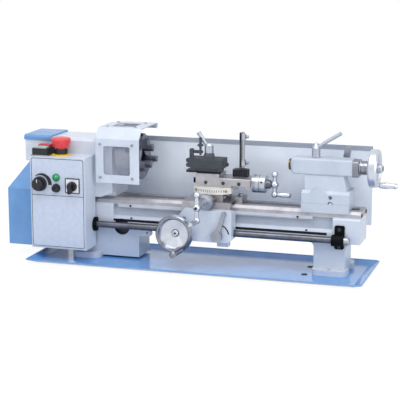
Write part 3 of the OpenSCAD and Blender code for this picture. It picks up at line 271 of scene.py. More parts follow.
finishes = {
    # Sprayed enamel: smooth colour with a little peel in its shine
    "casting": makeFinish("enamelOnCastIron", castingPaint),
    "bed": makeFinish("groundWaysOnEnamelledBed", bedCoat),  # grey lines on top, pale paint below
    "white": makeFinish("whiteEnamelOnSheet", enamelCoat("#d3dae5", "#c9d1dd", 0.4)),  # cool white
    "splash": makeFinish("paleBlueEnamelOnSheet",  # its bent lip gets a darker copy of the paint: painted shade under the lip
                         patchCoat("splashLipShade", enamelCoat("#bfc7d3", "#b5beca", 0.4),
                                   enamelCoat("#e9f0f9", "#e0e8f2", 0.4))),
    "blue": makeFinish("blueEnamelOnSheet", enamelCoat("#6597cc", "#5b8bbf", 0.36)),  # clear mid blue
    "tray": makeFinish("glossBlueEnamelOnTray", enamelCoat("#6399d6", "#588dc9", 0.12)),  # mirrors the feet
    "rack": makeFinish("paleRackSteel", enamelCoat("#c4c8d1", "#b6bbc5", 0.45)),  # matt, so the teeth show
    "cream": makeFinish("paleScalePlate", enamelCoat("#e2e1dc", "#d6d4cd", 0.4)),  # warm white under marks
    "tail": makeFinish("enamelledBodyWithSteelCap",  # grey steel ring at the end of pale paint
                       patchCoat("tailCap", steelCoat("#9297a2", "#7c818c", 0.4, alongY), tailShadedPaint)),
    # Bare and plated metal: lines of the tool, highlights drawn out across them
    "ground": makeFinish("groundCastIron", steelCoat("#b8b6bb", "#a19fa5", 0.4, alongX)),  # warm grey, lined
    "cross": makeFinish("groundCastIronCrosswise", steelCoat("#b4b1b4", "#9e9b9f", 0.4, alongY)),  # warm grey
    "screw": makeFinish("rolledScrewSteel",  # dark oily thread, bright end
                        patchCoat("leadScrewEnd", brightBar, steelCoat("#6f717a", "#595b63", 0.32, alongX))),
    "turned": makeFinish("satinChromedSteel", turnedSteel),
    "topDial": makeFinish("satinChromedDrumOnDarkNeck",  # bright drum, blued neck
                          patchCoat("topDialNeck", steelCoat("#6e717a", "#595c64", 0.36, alongZ),
                                    turnedSteel)),
    "postLever": makeFinish("satinChromedLeverOnDarkFoot", patchCoat("postLeverFoot", oilyIronAndShade, turnedSteel)),
    "quill": makeFinish("turnedQuillWithBrassNose", patchCoat("quillNose", dullBrass, quillCoat)),
    "brass": makeFinish("dullBrass", dullBrass),
    "lever": makeFinish("zincPlatedLever", steelCoat("#a6abb7", "#8f94a0", 0.36, alongZ)),  # cool, dull shine
    "chrome": makeFinish("polishedChrome",  # near mirror
                         steelCoat("#cfd4dd", "#bcc2cc", 0.15, alongZ, polished)),
    "aluminium": makeFinish("polishedAluminium", steelCoat("#cfd4de", "#c3c8d3", 0.3, alongY)),  # pale, soft
    "wheel": makeFinish("facedAluminiumWithChromedGrip",  # highlights fan out from the hub, darker grip
                        patchCoat("wheelGrip", steelCoat("#9196a1", "#767b86", 0.18, alongY, polished),
                                  steelCoat("#cfd4de", "#c3c8d3", 0.3, alongY, polished, "Y"))),
    "chuck": makeFinish("turnedChuckSteel", steelCoat("#8d919b", "#747882", 0.34, alongY)),  # mid grey, oiled
    "dark": makeFinish("blackenedSteel", steelCoat("#4a4d56", "#3a3d44", 0.46, alongX)),  # blue-black, dull
    "gear": makeFinish("cutGearSteel", steelCoat("#a5a7ad", "#8d9097", 0.4, alongX)),  # plain mid grey
    "bronze": makeFinish("castBronze", steelCoat("#b98d3e", "#94702f", 0.38, alongX)),  # yellow-brown
    "zinc": makeFinish("zincPlatedScrew", steelCoat("#a9acb3", "#8f9299", 0.32, alongZ, polished)),  # bright
    # Black metal, moulded plastic, rubber and film: dull colour, greasy patches shine
    "post": makeFinish("oilBlackenedToolPost", mouldCoat("#212329", "#191b20", 0.6, ior=1.2)),  # soot black
    "black": makeFinish("blackCastPaint", mouldCoat("#08090b", "#050607", 0.6, ior=1.2)),  # deepest black
    "shieldPost": makeFinish("steelRodInBlackBlock",  # bright rod in a dull black block
                             patchCoat("shieldRod", brightBar,
                                       mouldCoat("#262830", "#1c1e24", 0.5, ior=1.3))),
    "rubber": makeFinish("ribbedBeltRubber", mouldCoat("#1d1e20", "#141516", 0.7, ior=1.5)),  # matt black
    "blackPlastic": makeFinish("blackThermoplastic", blackMoulding),
    "redPlastic": makeFinish("redThermoplastic", mouldCoat("#e0454a", "#d2383d", 0.33)),  # clear red, satin
    "greenPlastic": makeFinish("paleGreenThermoplastic", mouldCoat("#b3cfc4", "#a3c0b4", 0.3)),  # milky green
    "whitePlastic": makeFinish("whiteThermoplastic", mouldCoat("#e9ecf0", "#dfe2e7", 0.4)),  # milky white
    "stopBase": makeFinish("yellowAndBlackThermoplastic",  # yellow ring under a black collar
                           patchCoat("stopCollar", blackMoulding, mouldCoat("#ecca2c", "#dcb91f", 0.4))),
    "lens": makeFinish("greenLampLens", mouldCoat("#2f9d63", "#1d7a49", 0.12)),  # glossy, deep green
    "panel": makeFinish("printedPanelFilm",  # matt grey-blue film with a white plate on it
                        patchCoat("directionPlate", mouldCoat("#f0f2f6", "#e6e9ef", 0.4),
                                  mouldCoat("#c2cbdc", "#b9c3d5", 0.45))),
    "ink": makeFinish("printedInk", mouldCoat("#23252b", "#1b1d22", 0.6)),  # flat black
    # Clear sheet: seen by its edges and a faint shine
    "clear": makeFinish("polycarbonateSheetWithSteelClamps",
                        patchCoat("shieldClamps", brightBar, clearCoat("#dfe8f2", 0.035))),
    "window": makeFinish("polycarbonateWindow", clearCoat("#c3c9d8", 0.2)),  # scratched grey by chips
}
print("finishes made:", len(finishes))

nodeFinish = {
    "casting": ["apron", "lower_half_nut", "chuck_guard", "guard_hinge"],
    "bed": ["bed"],
    "tail": ["tail_body", "tail_base"],
    "white": ["headstock", "control_box"],
    "splash": ["splash_guard"],
    "panel": ["control_panel"],
    "blue": ["end_cover", "head_cap"],
    "tray": ["chip_tray"],
    "ground": ["saddle", "top_slide"],
    "cross": ["cross_slide"],
    "rack": ["rack"],
    "screw": ["lead_screw"],
    "turned": ["spindle", "spindle_bearings", "cross_dial", "quill_lock"],
    "postLever": ["tool_post_lever"],
    "quill": ["quill"],
    "topDial": ["top_dial"],
    "lever": ["half_nut_lever", "tail_clamp"],
    "chrome": ["cross_crank", "top_crank"],
    "wheel": ["apron_wheel"],
    "aluminium": ["tail_wheel"],
    "chuck": ["chuck_body", "chuck_jaw_1", "chuck_jaw_2", "chuck_jaw_3"],
    "dark": ["keeper_plate", "motor"],
    "post": ["tool_post"],
    "gear": ["gear_plate", "spindle_pulley", "motor_pulley", "idler_gear_1", "idler_gear_2", "apron_idler",
             "rack_pinion"],
    "bronze": ["upper_half_nut"],
    "black": ["lead_brackets"],
    "shieldPost": ["shield_post"],
    "rubber": ["drive_belt"],
    "blackPlastic": ["switch_frame", "speed_knob", "direction_knob"],
    "redPlastic": ["stop_button", "stop_mushroom"],
    "greenPlastic": ["start_button"],
    "stopBase": ["stop_base"],
    "cream": ["swivel_base"],
    "clear": ["tool_shield"],
    "window": ["guard_windows"],
}
for finish, names in nodeFinish.items():
    for name in names:
        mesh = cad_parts[name].data
        mesh.materials.clear()
        mesh.materials.append(finishes[finish])
print("CAD nodes painted:", sum(len(names) for names in nodeFinish.values()))


def editMode():
    bpy.ops.object.mode_set(mode="EDIT")


def clearSelection():
    if bpy.context.object and bpy.context.object.mode == "EDIT":
        bpy.ops.object.mode_set(mode="OBJECT")
    bpy.ops.object.select_all(action="DESELECT")


def pickOnly(piece):
    clearSelection()
    piece.select_set(True)
    bpy.context.view_layer.objects.active = piece


def pickAllMesh():
    bpy.ops.mesh.select_all(action="SELECT")


def applyPlace():
    bpy.ops.object.transform_apply(location=True, rotation=True, scale=True)


lay = {"x": (0, math.pi / 2, 0), "y": (math.pi / 2, 0, 0), "z": (0, 0, 0)}  # ends face +X, -Y and +Z
left, right, front, back, down, up = (-1, 0, 0), (1, 0, 0), (0, -1, 0), (0, 1, 0), (0, 0, -1), (0, 0, 1)


def startRound(radius, length, middle, axis="z", sides=32):
    clearSelection()
    bpy.ops.mesh.primitive_cylinder_add(vertices=sides, radius=radius * mm, depth=length * mm,
                                        location=Vector(middle) * mm, rotation=lay[axis])
    applyPlace()
    return bpy.context.object


def startBlock(low, high):
    clearSelection()
    bpy.ops.mesh.primitive_cube_add(size=mm, location=(Vector(low) + Vector(high)) / 2 * mm)
    bpy.context.object.scale = Vector(high) - Vector(low)
    applyPlace()
    return bpy.context.object


def startPlate(low, high, level, corner, axis):  # flat plate with round corners, facing up or to the front
    clearSelection()
    across, along = (low[0] + high[0]) / 2, (low[1] + high[1]) / 2
    middle = (across, along, level) if axis == "z" else (across, level, along)
    bpy.ops.mesh.primitive_plane_add(size=mm, location=Vector(middle) * mm, rotation=lay[axis])
    bpy.context.object.scale = (high[0] - low[0], high[1] - low[1], 1)
    applyPlace()
    editMode()
    pickAllMesh()
    bpy.ops.mesh.bevel(offset=corner * mm, segments=5, affect="VERTICES")
    return bpy.context.object


def startTurned(outline, steps=32):  # (radius, height) pairs from axis to axis, spun round Z
    clearSelection()
    bpy.ops.mesh.primitive_plane_add(size=mm)
    editMode()
    bpy.ops.mesh.select_mode(type="VERT")
    pickAllMesh()
    bpy.ops.mesh.merge(type="CENTER")
    bpy.ops.transform.translate(value=Vector((outline[0][0], 0, outline[0][1])) * mm)
    for (radius, height), (nextRadius, nextHeight) in zip(outline, outline[1:]):
        pull(nextRadius - radius, 0, nextHeight - height)
    pickAllMesh()
    bpy.ops.mesh.spin(steps=steps, angle=math.tau, center=(0, 0, 0), axis=up)
    pickAllMesh()
    bpy.ops.mesh.remove_doubles(threshold=0.01 * mm)
    bpy.ops.mesh.normals_make_consistent(inside=False)


def pickWhere(kind, test):
    editMode()
    bpy.ops.mesh.select_mode(type=kind)
    bpy.ops.mesh.select_all(action="DESELECT")
    shape = bmesh.from_edit_mesh(bpy.context.object.data)
    for part in shape.faces if kind == "FACE" else shape.edges:
        if test(part):
            part.select_set(True)
    bmesh.update_edit_mesh(bpy.context.object.data)


def pickFaces(*ways):  # the faces that point one of these ways
    pickWhere("FACE", lambda face: any(face.normal.dot(Vector(way)) > 0.99 for way in ways))


def pickEdges(low, high):  # the edges whose middle lies between two heights
    pickWhere("EDGE", lambda edge: low < (edge.verts[0].co.z + edge.verts[1].co.z) / 2 / mm < high)


def insetBy(width):
    bpy.ops.mesh.inset(thickness=width * mm)


def pull(x, y, z):
    bpy.ops.mesh.extrude_region_move(TRANSFORM_OT_translate={"value": Vector((x, y, z)) * mm})


def bevelBy(width):
    bpy.ops.mesh.bevel(offset=width * mm, segments=2, affect="EDGES")


def spinCopies(count, degrees, middle, axis):  # repeats the mesh in steps round an axis
    editMode()
    pickAllMesh()
    bpy.ops.mesh.spin(steps=count - 1, dupli=True, angle=math.radians(degrees),
                      center=Vector(middle) * mm, axis=axis)


def spinFullRound(count, middle, axis):
    spinCopies(count, 360 * (count - 1) / count, middle, axis)


def applyModifier(kind, **settings):
    bpy.ops.object.mode_set(mode="OBJECT")
    bpy.ops.object.modifier_add(type=kind)
    added = bpy.context.object.modifiers[-1]
    for key, value in settings.items():
        setattr(added, key, value)
    bpy.ops.object.modifier_apply(modifier=added.name)


def roundEdges(width, segments=2):
    applyModifier("BEVEL", width=width * mm, segments=segments, limit_method="ANGLE")


def thicken(thickness):
    applyModifier("SOLIDIFY", thickness=thickness * mm, offset=1.0)


def makeRim(width, thickness):  # leaves only the edge of a plate
    insetBy(width)
    bpy.ops.mesh.delete(type="FACE")
    thicken(thickness)


def cutWith(cutter, piece):  # takes the cutter's shape out of the piece
    pickOnly(piece)
    applyModifier("BOOLEAN", object=cutter, operation="DIFFERENCE")
    pickOnly(cutter)
    bpy.ops.object.delete()
    pickOnly(piece)


def joinAll(parts):
    clearSelection()
    for part in parts:
        part.select_set(True)
    bpy.context.view_layer.objects.active = parts[0]
    if len(parts) > 1:
        bpy.ops.object.join()


def placeCopies(places):  # copies of the active piece, which stands on the origin and points up
    master = bpy.context.object
    copies = []
    for place, direction in places:
        pickOnly(master)
        bpy.ops.object.duplicate()
        bpy.context.object.location = Vector(place) * mm
        bpy.context.object.rotation_euler = Vector(direction).to_track_quat("Z", "Y").to_euler()
        applyPlace()
        copies.append(bpy.context.object)
    pickOnly(master)
    bpy.ops.object.delete()
    joinAll(copies)
    return copies[0]


def ringPlaces(middle, radius, turns):  # places on a circle that faces right
    return [((middle[0], middle[1] + radius * math.cos(turn), middle[2] + radius * math.sin(turn)), right)
            for turn in map(math.radians, turns)]


smoothBelow = math.radians(32)  # edges sharper than this stay sharp


def finishPiece(name, finish, body):
    bpy.ops.object.mode_set(mode="OBJECT")
    piece = bpy.context.object
    piece.name = name
    piece.data.materials.clear()
    piece.data.materials.append(finishes[finish])
    bpy.ops.object.shade_smooth_by_angle(angle=smoothBelow)
    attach(piece, body)


def boxOf(node):
    low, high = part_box(node)
    return Vector(low) / mm, Vector(high) / mm


def roundTop(height, width):
    pickEdges(height * 0.99, height * 1.01)
    bevelBy(width)


def socketScrew(radius, height):  # parts of a screw follow its radius and height
    startRound(radius, height, (0, 0, height / 2), sides=20)
    roundTop(height, radius * 0.16)
    pickFaces(up)
    insetBy(radius * 0.34)
    pull(0, 0, -height * 0.6)


def slottedScrew(radius, height):
    cutter = startRound(radius * 0.22, radius * 3, (0, 0, 0), "x", 4)
    cutter.location.z = (height + radius * 0.05) * mm
    applyPlace()
    shank = startRound(radius, height, (0, 0, height / 2), sides=20)
    roundTop(height, radius * 0.2)
    cutWith(cutter, shank)


def hexBolt(radius, height):  # six-sided head with a chamfered top, standing on its washer
    head = startRound(radius, height, (0, 0, height / 2), sides=6)
    pickFaces(up)
    insetBy(radius * 0.1)
    bpy.ops.transform.translate(value=(0, 0, radius * 0.08 * mm))
    thick = height * 0.28
    washer = startRound(radius * 1.3, thick, (0, 0, thick / 2), sides=24)
    roundTop(thick, thick * 0.3)
    joinAll([head, washer])


def printedArc(arc, middle, cutAt, cutWays):  # thin crescent between two circles, cut off at both ends
    hollow = startRound(arc["inner"], arc["deep"], middle, "y", arc["sides"])
    shifted = Vector(middle) + Vector((arc["shift"], -arc["thick"] / 2, 0))
    cutWith(hollow, startRound(arc["outer"], arc["thick"], shifted, "y", arc["sides"]))
    editMode()
    for way in cutWays:
        pickAllMesh()
        bpy.ops.mesh.bisect(plane_co=Vector(cutAt) * mm, plane_no=way, use_fill=True, clear_outer=True)


# Printed outline round the panel film and the line between its two fields
panelLines = {"film": 1.5, "edge": 2.2, "stroke": 1.1, "corner": 4.5, "thick": 0.2, "divider": 144.8}
panelFront = boxOf("control_box")[0].y - panelLines["film"]
panelLow, panelHigh = boxOf("control_panel")
edge = panelLines["edge"]
fieldLow, fieldHigh = (panelLow.x + edge, panelLow.z + edge), (panelHigh.x - edge, panelHigh.z - edge)
outline = startPlate(fieldLow, fieldHigh, panelFront, panelLines["corner"], "y")
makeRim(panelLines["stroke"], panelLines["thick"])
divider = startBlock((fieldLow[0], panelFront - panelLines["thick"], panelLines["divider"]),
                     (fieldHigh[0], panelFront, panelLines["divider"] + panelLines["stroke"]))
pickFaces(front)
insetBy(panelLines["thick"])
joinAll([outline, divider])
finishPiece("panelLines", "ink", "frame")

# Wedge-shaped arc that says more speed this way, cut off below the knob and at its thin end
speedArc = {"inner": 18.4, "outer": 22.8, "shift": 4.4, "thick": 0.25, "deep": 4, "sides": 64, "cut": -2,
            "cutWays": (down, (-0.87, 0, -0.5))}
knobLow, knobHigh = boxOf("speed_knob")
knobAt = (knobLow + knobHigh) / 2
printedArc(speedArc, (knobAt.x, panelFront, knobAt.z), (knobAt.x, 0, knobAt.z + speedArc["cut"]),
           speedArc["cutWays"])
finishPiece("speedArc", "ink", "frame")

# Pilot lamp: bezel pressed into the panel with a domed lens
pilotLamp = {"place": (-305.5, 185.2), "radius": 8.4, "rim": 1.4, "stand": 3, "sunk": 0.9, "ring": 1.7,
             "dome": (2.2, 1.6, 1.2)}
startRound(pilotLamp["radius"], pilotLamp["stand"],
           (pilotLamp["place"][0], panelFront - pilotLamp["stand"] / 2, pilotLamp["place"][1]), "y", 40)
pickFaces(front)
insetBy(pilotLamp["rim"])
pull(0, pilotLamp["sunk"], 0)
for step in pilotLamp["dome"]:  # the lens rises in ever flatter rings
    insetBy(pilotLamp["ring"])
    bpy.ops.transform.translate(value=(0, -step * mm, 0))
finishPiece("pilotLamp", "lens", "frame")

# Fuse holder: flanged cap with a grip ring and a screwdriver slot
fuseHolder = {"place": (-306, 162.3), "radius": 9.6, "flange": 2.5, "cap": 7.6, "stand": 7, "round": 0.5,
              "steps": ((2.2, 1.2), (2.4, 2.5))}  # width and depth of each ring that sinks in
fuseAt = (fuseHolder["place"][0], panelFront - fuseHolder["flange"] / 2, fuseHolder["place"][1])
startRound(fuseHolder["radius"], fuseHolder["flange"], fuseAt, "y", 40)
pickFaces(front)
insetBy(fuseHolder["radius"] - fuseHolder["cap"])
pull(0, -fuseHolder["stand"], 0)
for width, depth in fuseHolder["steps"]:
    insetBy(width)
    pull(0, depth, 0)
roundEdges(fuseHolder["round"])
finishPiece("fuseHolder", "blackPlastic", "frame")

# Black rim round the white direction plate
plateRim = {"low": (-285, 152.4), "high": (-251.8, 185.4), "stroke": 1.9, "corner": 2, "thick": 2.4,
            "round": 0.4}
startPlate(plateRim["low"], plateRim["high"], panelFront, plateRim["corner"], "y")
makeRim(plateRim["stroke"], plateRim["thick"])
roundEdges(plateRim["round"])
finishPiece("directionPlateRim", "blackPlastic", "frame")
print("control panel dressed")

# Screws that hold the windows in the chuck guard
guardScrew = {"head": (2.9, 1.9), "acrossFront": (-219.5, -146.5), "upFront": (184, 256),
              "acrossTop": (-214, -150), "alongTop": (-27, 38), "top": 290}
guardFront = boxOf("chuck_guard")[0].y
socketScrew(*guardScrew["head"])
placeCopies([((x, guardFront, z), front) for x in guardScrew["acrossFront"] for z in guardScrew["upFront"]] +
            [((x, y, guardScrew["top"]), up)
             for x in guardScrew["acrossTop"] for y in guardScrew["alongTop"]])
finishPiece("guardScrews", "zinc", "guard")

# Gib screws with lock nuts along the top slide
gibScrew = {"across": (7.3, 45.9, 80.6), "height": 179.6, "nut": (2.9, 3.2), "screw": (1.7, 6)}
slideFront = boxOf("top_slide")[0].y
gibPlaces = [((x, slideFront, gibScrew["height"]), front) for x in gibScrew["across"]]
hexBolt(*gibScrew["nut"])
nuts = placeCopies(gibPlaces)
slottedScrew(*gibScrew["screw"])
joinAll([nuts, placeCopies(gibPlaces)])
finishPiece("topSlideGibScrews", "dark", "top_slide")

# Cross slide gib screws on its right side
crossScrew = {"along": (-24, -2, 20), "height": 149.5, "head": (3.8, 3)}
crossRight = boxOf("cross_slide")[1].x
hexBolt(*crossScrew["head"])
placeCopies([((crossRight, y, crossScrew["height"]), right) for y in crossScrew["along"]])
finishPiece("crossSlideGibScrews", "zinc", "cross_slide")

# Degree marks and two screws on the curved front of the swivel base
swivelMarks = {"middle": (22, 11, 0), "radius": 55, "spread": 60, "count": 13, "foot": 161.5, "tall": 5.5,
               "thick": 1.1, "rise": 0.12, "sunk": 1, "chamfer": 0.1}
swivelX, swivelY = swivelMarks["middle"][:2]
half, markY = swivelMarks["thick"] / 2, swivelY - swivelMarks["radius"]
startBlock((swivelX - half, markY - swivelMarks["rise"], swivelMarks["foot"]),
           (swivelX + half, markY + swivelMarks["sunk"], swivelMarks["foot"] + swivelMarks["tall"]))
pickFaces(up)
insetBy(swivelMarks["chamfer"])
pickAllMesh()
bpy.ops.transform.rotate(value=math.radians(swivelMarks["spread"] / 2), orient_axis="Z",
                         center_override=Vector(swivelMarks["middle"]) * mm)
spinCopies(swivelMarks["count"], swivelMarks["spread"], swivelMarks["middle"], down)
finishPiece("swivelMarks", "ink", "swivel")
swivelScrews = {"across": (-11, 54), "height": 164, "head": (3, 1.6)}
screwPlaces = []
for x in swivelScrews["across"]:
    reach = math.sqrt(swivelMarks["radius"] ** 2 - (x - swivelX) ** 2)
    screwPlaces.append(((x, swivelY - reach, swivelScrews["height"]), (x - swivelX, -reach, 0)))
slottedScrew(*swivelScrews["head"])
placeCopies(screwPlaces)
finishPiece("swivelScrews", "brass", "swivel")

# Engraved lines round the two dials
dialLine = {"count": 40, "half": 0.35, "sunk": 0.6, "rise": 0.1, "chamfer": 0.12}
dials = {
    "crossDialMarks": {"along": back, "side": right, "middle": (19.5, 0, 145), "radius": 16.5, "place": -64.5,
                       "length": 5, "body": "cross_drive"},
    "topDialMarks": {"along": right, "side": back, "middle": (0, 0, 178), "radius": 19, "place": 110.5,
                     "length": 6, "body": "top_drive"},
}
for name, dial in dials.items():
    along = Vector(dial["along"])
    root = Vector(dial["middle"]) + Vector((0, 0, dial["radius"])) + along * dial["place"]
    reach = along * dial["length"] / 2 + Vector(dial["side"]) * dialLine["half"]
    startBlock(root - reach - Vector((0, 0, dialLine["sunk"])),
               root + reach + Vector((0, 0, dialLine["rise"])))
    pickFaces(up)
    insetBy(dialLine["chamfer"])
    spinFullRound(dialLine["count"], dial["middle"], along)
    finishPiece(name, "ink", dial["body"])
print("slides and dials dressed")

# Clamp bracket and thumb screw that stand on the tool post
postClamp = {"leg": ((-33, -14, 228), (-25, -6, 247.5)), "legTop": (1.2, 0.8),
             "bar": ((-26, -13, 238.7), (-5, -7, 245)), "barEnd": (1, 1.5), "round": 0.8,
             "screw": (-9.4, -10, 235),
             "screwOutline": [(0, 0), (1.8, 0), (2.6, 1), (2.6, 18.5), (6, 19), (6.4, 20), (6.4, 22.5),
                              (5.6, 23.2), (3, 23.4), (2.7, 25), (2.7, 36.5), (2, 38), (0, 38.4)]}
leg = startBlock(*postClamp["leg"])
pickFaces(up)
insetBy(postClamp["legTop"][0])
pull(0, 0, postClamp["legTop"][1])
roundEdges(postClamp["round"])
bar = startBlock(*postClamp["bar"])
pickFaces(right)
insetBy(postClamp["barEnd"][0])
pull(postClamp["barEnd"][1], 0, 0)
roundEdges(postClamp["round"])
startTurned(postClamp["screwOutline"])
joinAll([leg, bar, placeCopies([(postClamp["screw"], up)])])
finishPiece("postClamp", "post", "tool_post")

# Hexagon heads on the ends of the tool post, and the thin stop pin at its right end
postScrews = {"head": (4.2, 4.5), "leftEnd": -35, "leftAt": ((-14, 213), (-14, 223), (8, 218)),
              "rightEnd": 42, "rightAt": ((-12, 213.5), (10, 213.5)), "pin": (45.4, -12, 216.5),
              "pinOutline": [(0, 0), (3, 0), (3.4, 0.6), (3.4, 2.6), (1.6, 3.2), (1.3, 4), (1.3, 13.5),
                             (0.8, 14.3), (0, 14.4)]}
hexBolt(*postScrews["head"])
heads = placeCopies([((postScrews["leftEnd"], y, z), left) for y, z in postScrews["leftAt"]] +
                    [((postScrews["rightEnd"], y, z), right) for y, z in postScrews["rightAt"]])
startTurned(postScrews["pinOutline"], 20)
joinAll([heads, placeCopies([(postScrews["pin"], up)])])
finishPiece("postScrews", "post", "tool_post")

# Thumb screws that hold the shield on its rod
shieldKnob = {"place": (83.2, 20), "heights": (218, 274),
              "outline": [(0, -1), (1.8, -1), (1.8, 0.8), (3, 1.2), (3.4, 1.8), (3.4, 5), (3, 5.6),
                          (1.8, 5.8), (0, 5.5)]}
startTurned(shieldKnob["outline"], 24)
placeCopies([((*shieldKnob["place"], z), right) for z in shieldKnob["heights"]])
finishPiece("shieldKnobs", "lever", "shield")

# Dark strip along the folded edge of the shield
shieldStrip = {"low": (71.5, 9, 208), "high": (73.5, 12.5, 284), "round": 0.5, "chamfer": 0.3}
startBlock(shieldStrip["low"], shieldStrip["high"])
pickEdges(shieldStrip["low"][2] + 1, shieldStrip["high"][2] - 1)
bevelBy(shieldStrip["round"])
pickFaces(up, down)
insetBy(shieldStrip["chamfer"])
finishPiece("shieldEdgeStrip", "black", "shield")

# Small lock pin with a cross handle at the left end of the top slide
slideLock = {"pin": (-18, -24, 177.5), "handle": (-15, -24, 183),
             "pinOutline": [(0, 0), (1.8, 0), (2.3, 0.5), (2.3, 10), (1.8, 11), (0, 11.3)],
             "handleOutline": [(0, 0), (1.5, 0), (1.5, 3.4), (1.2, 3.8), (0, 3.8)]}
startTurned(slideLock["pinOutline"], 20)
pin = placeCopies([(slideLock["pin"], up)])
startTurned(slideLock["handleOutline"], 16)
joinAll([pin, placeCopies([(slideLock["handle"], left)])])
finishPiece("topSlideLock", "black", "top_slide")

# Set screw and index ring on the top slide dial
topDial = {"place": 127, "height": 178, "radius": 19, "lean": 20, "screw": (2.3, 0.5), "ring": 121,
           "ringOutline": [(18.5, -0.5), (19.15, -0.5), (19.2, 0), (19.15, 0.5), (18.5, 0.5), (18.5, -0.5)]}
lean = math.radians(topDial["lean"])
outward = Vector((0, -math.cos(lean), math.sin(lean)))
socketScrew(*topDial["screw"])
screwAt = Vector((topDial["place"], 0, topDial["height"])) + outward * topDial["radius"]
setScrew = placeCopies([(screwAt, outward)])
startTurned(topDial["ringOutline"], 64)
joinAll([setScrew, placeCopies([((topDial["ring"], 0, topDial["height"]), right)])])
finishPiece("topDialIndex", "ink", "top_drive")

# Plug in the hub of the cross crank
crankPlug = {"place": (19.5, -136.2, 145),
             "outline": [(0, -1.5), (3, -1.5), (3.4, 0.4), (3, 0.9), (2, 0.9), (1.6, 0.3), (0, 0.3)]}
startTurned(crankPlug["outline"], 24)
placeCopies([(crankPlug["place"], front)])
finishPiece("crossCrankPlug", "ink", "cross_drive")

# Dark ring round the hub of the apron wheel, and the screw in its end
wheelHub = {"ring": (-42.5, -82, 77.5), "end": (-42.5, -86, 77.5), "screw": (2.6, 1),
            "ringOutline": [(7.05, -0.4), (8.4, -0.4), (8.4, 0.5), (8, 0.8), (7.05, 0.8), (7.05, -0.4)]}
startTurned(wheelHub["ringOutline"], 40)
placeCopies([(wheelHub["ring"], front)])
finishPiece("wheelHubRing", "ink", "apron_handwheel")
socketScrew(*wheelHub["screw"])
placeCopies([(wheelHub["end"], front)])
finishPiece("wheelHubScrew", "dark", "apron_handwheel")
print("tool post, shield and wheels dressed")

# Screws that hold the rack under the front way
rackScrew = {"across": (-160.5, 25, 210.5), "face": -35, "height": 119.4, "head": (2.4, 1.2)}
socketScrew(*rackScrew["head"])
placeCopies([((x, rackScrew["face"], rackScrew["height"]), front) for x in rackScrew["across"]])
finishPiece("rackScrews", "ink", "frame")

# Screws in the sloping ledge over the lead screw
ledgeScrew = {"across": (-158.5, 229.7), "face": -36, "height": 92.2, "slope": (0, -0.52, 0.85),
              "head": (2.4, 1)}
socketScrew(*ledgeScrew["head"])
placeCopies([((x, ledgeScrew["face"], ledgeScrew["height"]), ledgeScrew["slope"])
             for x in ledgeScrew["across"]])
finishPiece("ledgeScrews", "ink", "frame")

# Rubber plugs in the floor of the tray
trayPlug = {"places": ((231, -54.5, 2), (229.6, 11, 2)),
            "outline": [(0, 0), (6.5, 0), (6.8, 0.3), (6.2, 0.9), (3, 1.1), (0, 1.1)]}
startTurned(trayPlug["outline"], 28)
placeCopies([(place, up) for place in trayPlug["places"]])
finishPiece("trayPlugs", "rubber", "frame")

# Rolled hem round the rim of the tray
trayHem = {"width": 3.6, "thick": 2.6, "foot": 7.6, "corner": 10, "out": 1, "round": 1.1}
trayLow, trayHigh = boxOf("chip_tray")
hemOut = Vector((trayHem["out"], trayHem["out"], 0))
startPlate((trayLow - hemOut)[:2], (trayHigh + hemOut)[:2], trayHem["foot"], trayHem["corner"], "z")
makeRim(trayHem["width"], trayHem["thick"])
roundEdges(trayHem["round"], 3)
finishPiece("trayHem", "blue", "frame")

# Rubber way wipers with raised lips on the ends of the saddle
wipers = {"thick": 2.6, "foot": 136.7, "top": 140.6, "margin": 1.4, "lip": 0.8, "round": 0.4,
          "ends": ((-38, -1, -31, 31), (68, 1, -31, -13))}  # X of the end, the way it faces, from Y to Y
wiperParts = []
for face, sign, low, high in wipers["ends"]:
    far = face + sign * wipers["thick"]
    wiperParts.append(startBlock((min(face, far), low, wipers["foot"]),
                                 (max(face, far), high, wipers["top"])))
    pickFaces((sign, 0, 0))
    insetBy(wipers["margin"])
    pull(sign * wipers["lip"], 0, 0)
    roundEdges(wipers["round"])
joinAll(wiperParts)
finishPiece("wayWipers", "rubber", "carriage")
wiperScrew = {"head": (1.3, 1), "height": 138.7, "leftEnd": -41.4, "leftAt": (-24, 0, 24),
              "rightEnd": 71.4, "rightAt": (-27, -17)}
socketScrew(*wiperScrew["head"])
placeCopies([((wiperScrew["leftEnd"], y, wiperScrew["height"]), left) for y in wiperScrew["leftAt"]] +
            [((wiperScrew["rightEnd"], y, wiperScrew["height"]), right) for y in wiperScrew["rightAt"]])
finishPiece("wiperScrews", "zinc", "carriage")

# Lock bolt on the wing of the saddle
saddleLock = {"place": (76, 8, 148), "head": (5.2, 5)}
hexBolt(*saddleLock["head"])
placeCopies([(saddleLock["place"], up)])
finishPiece("saddleLockBolt", "lever", "carriage")

# Crescent beside the half nut lever: engaged one way, free the other
nutMark = {"axis": (46, -70, 75), "inner": 24, "outer": 26.2, "shift": 0.9, "thick": 0.25, "deep": 4,
           "sides": 72, "from": math.radians(10), "to": math.radians(68)}
printedArc(nutMark, nutMark["axis"], nutMark["axis"],
           ((-math.sin(nutMark["to"]), 0, math.cos(nutMark["to"])),
            (math.sin(nutMark["from"]), 0, -math.cos(nutMark["from"]))))
finishPiece("nutLeverMark", "ink", "carriage")

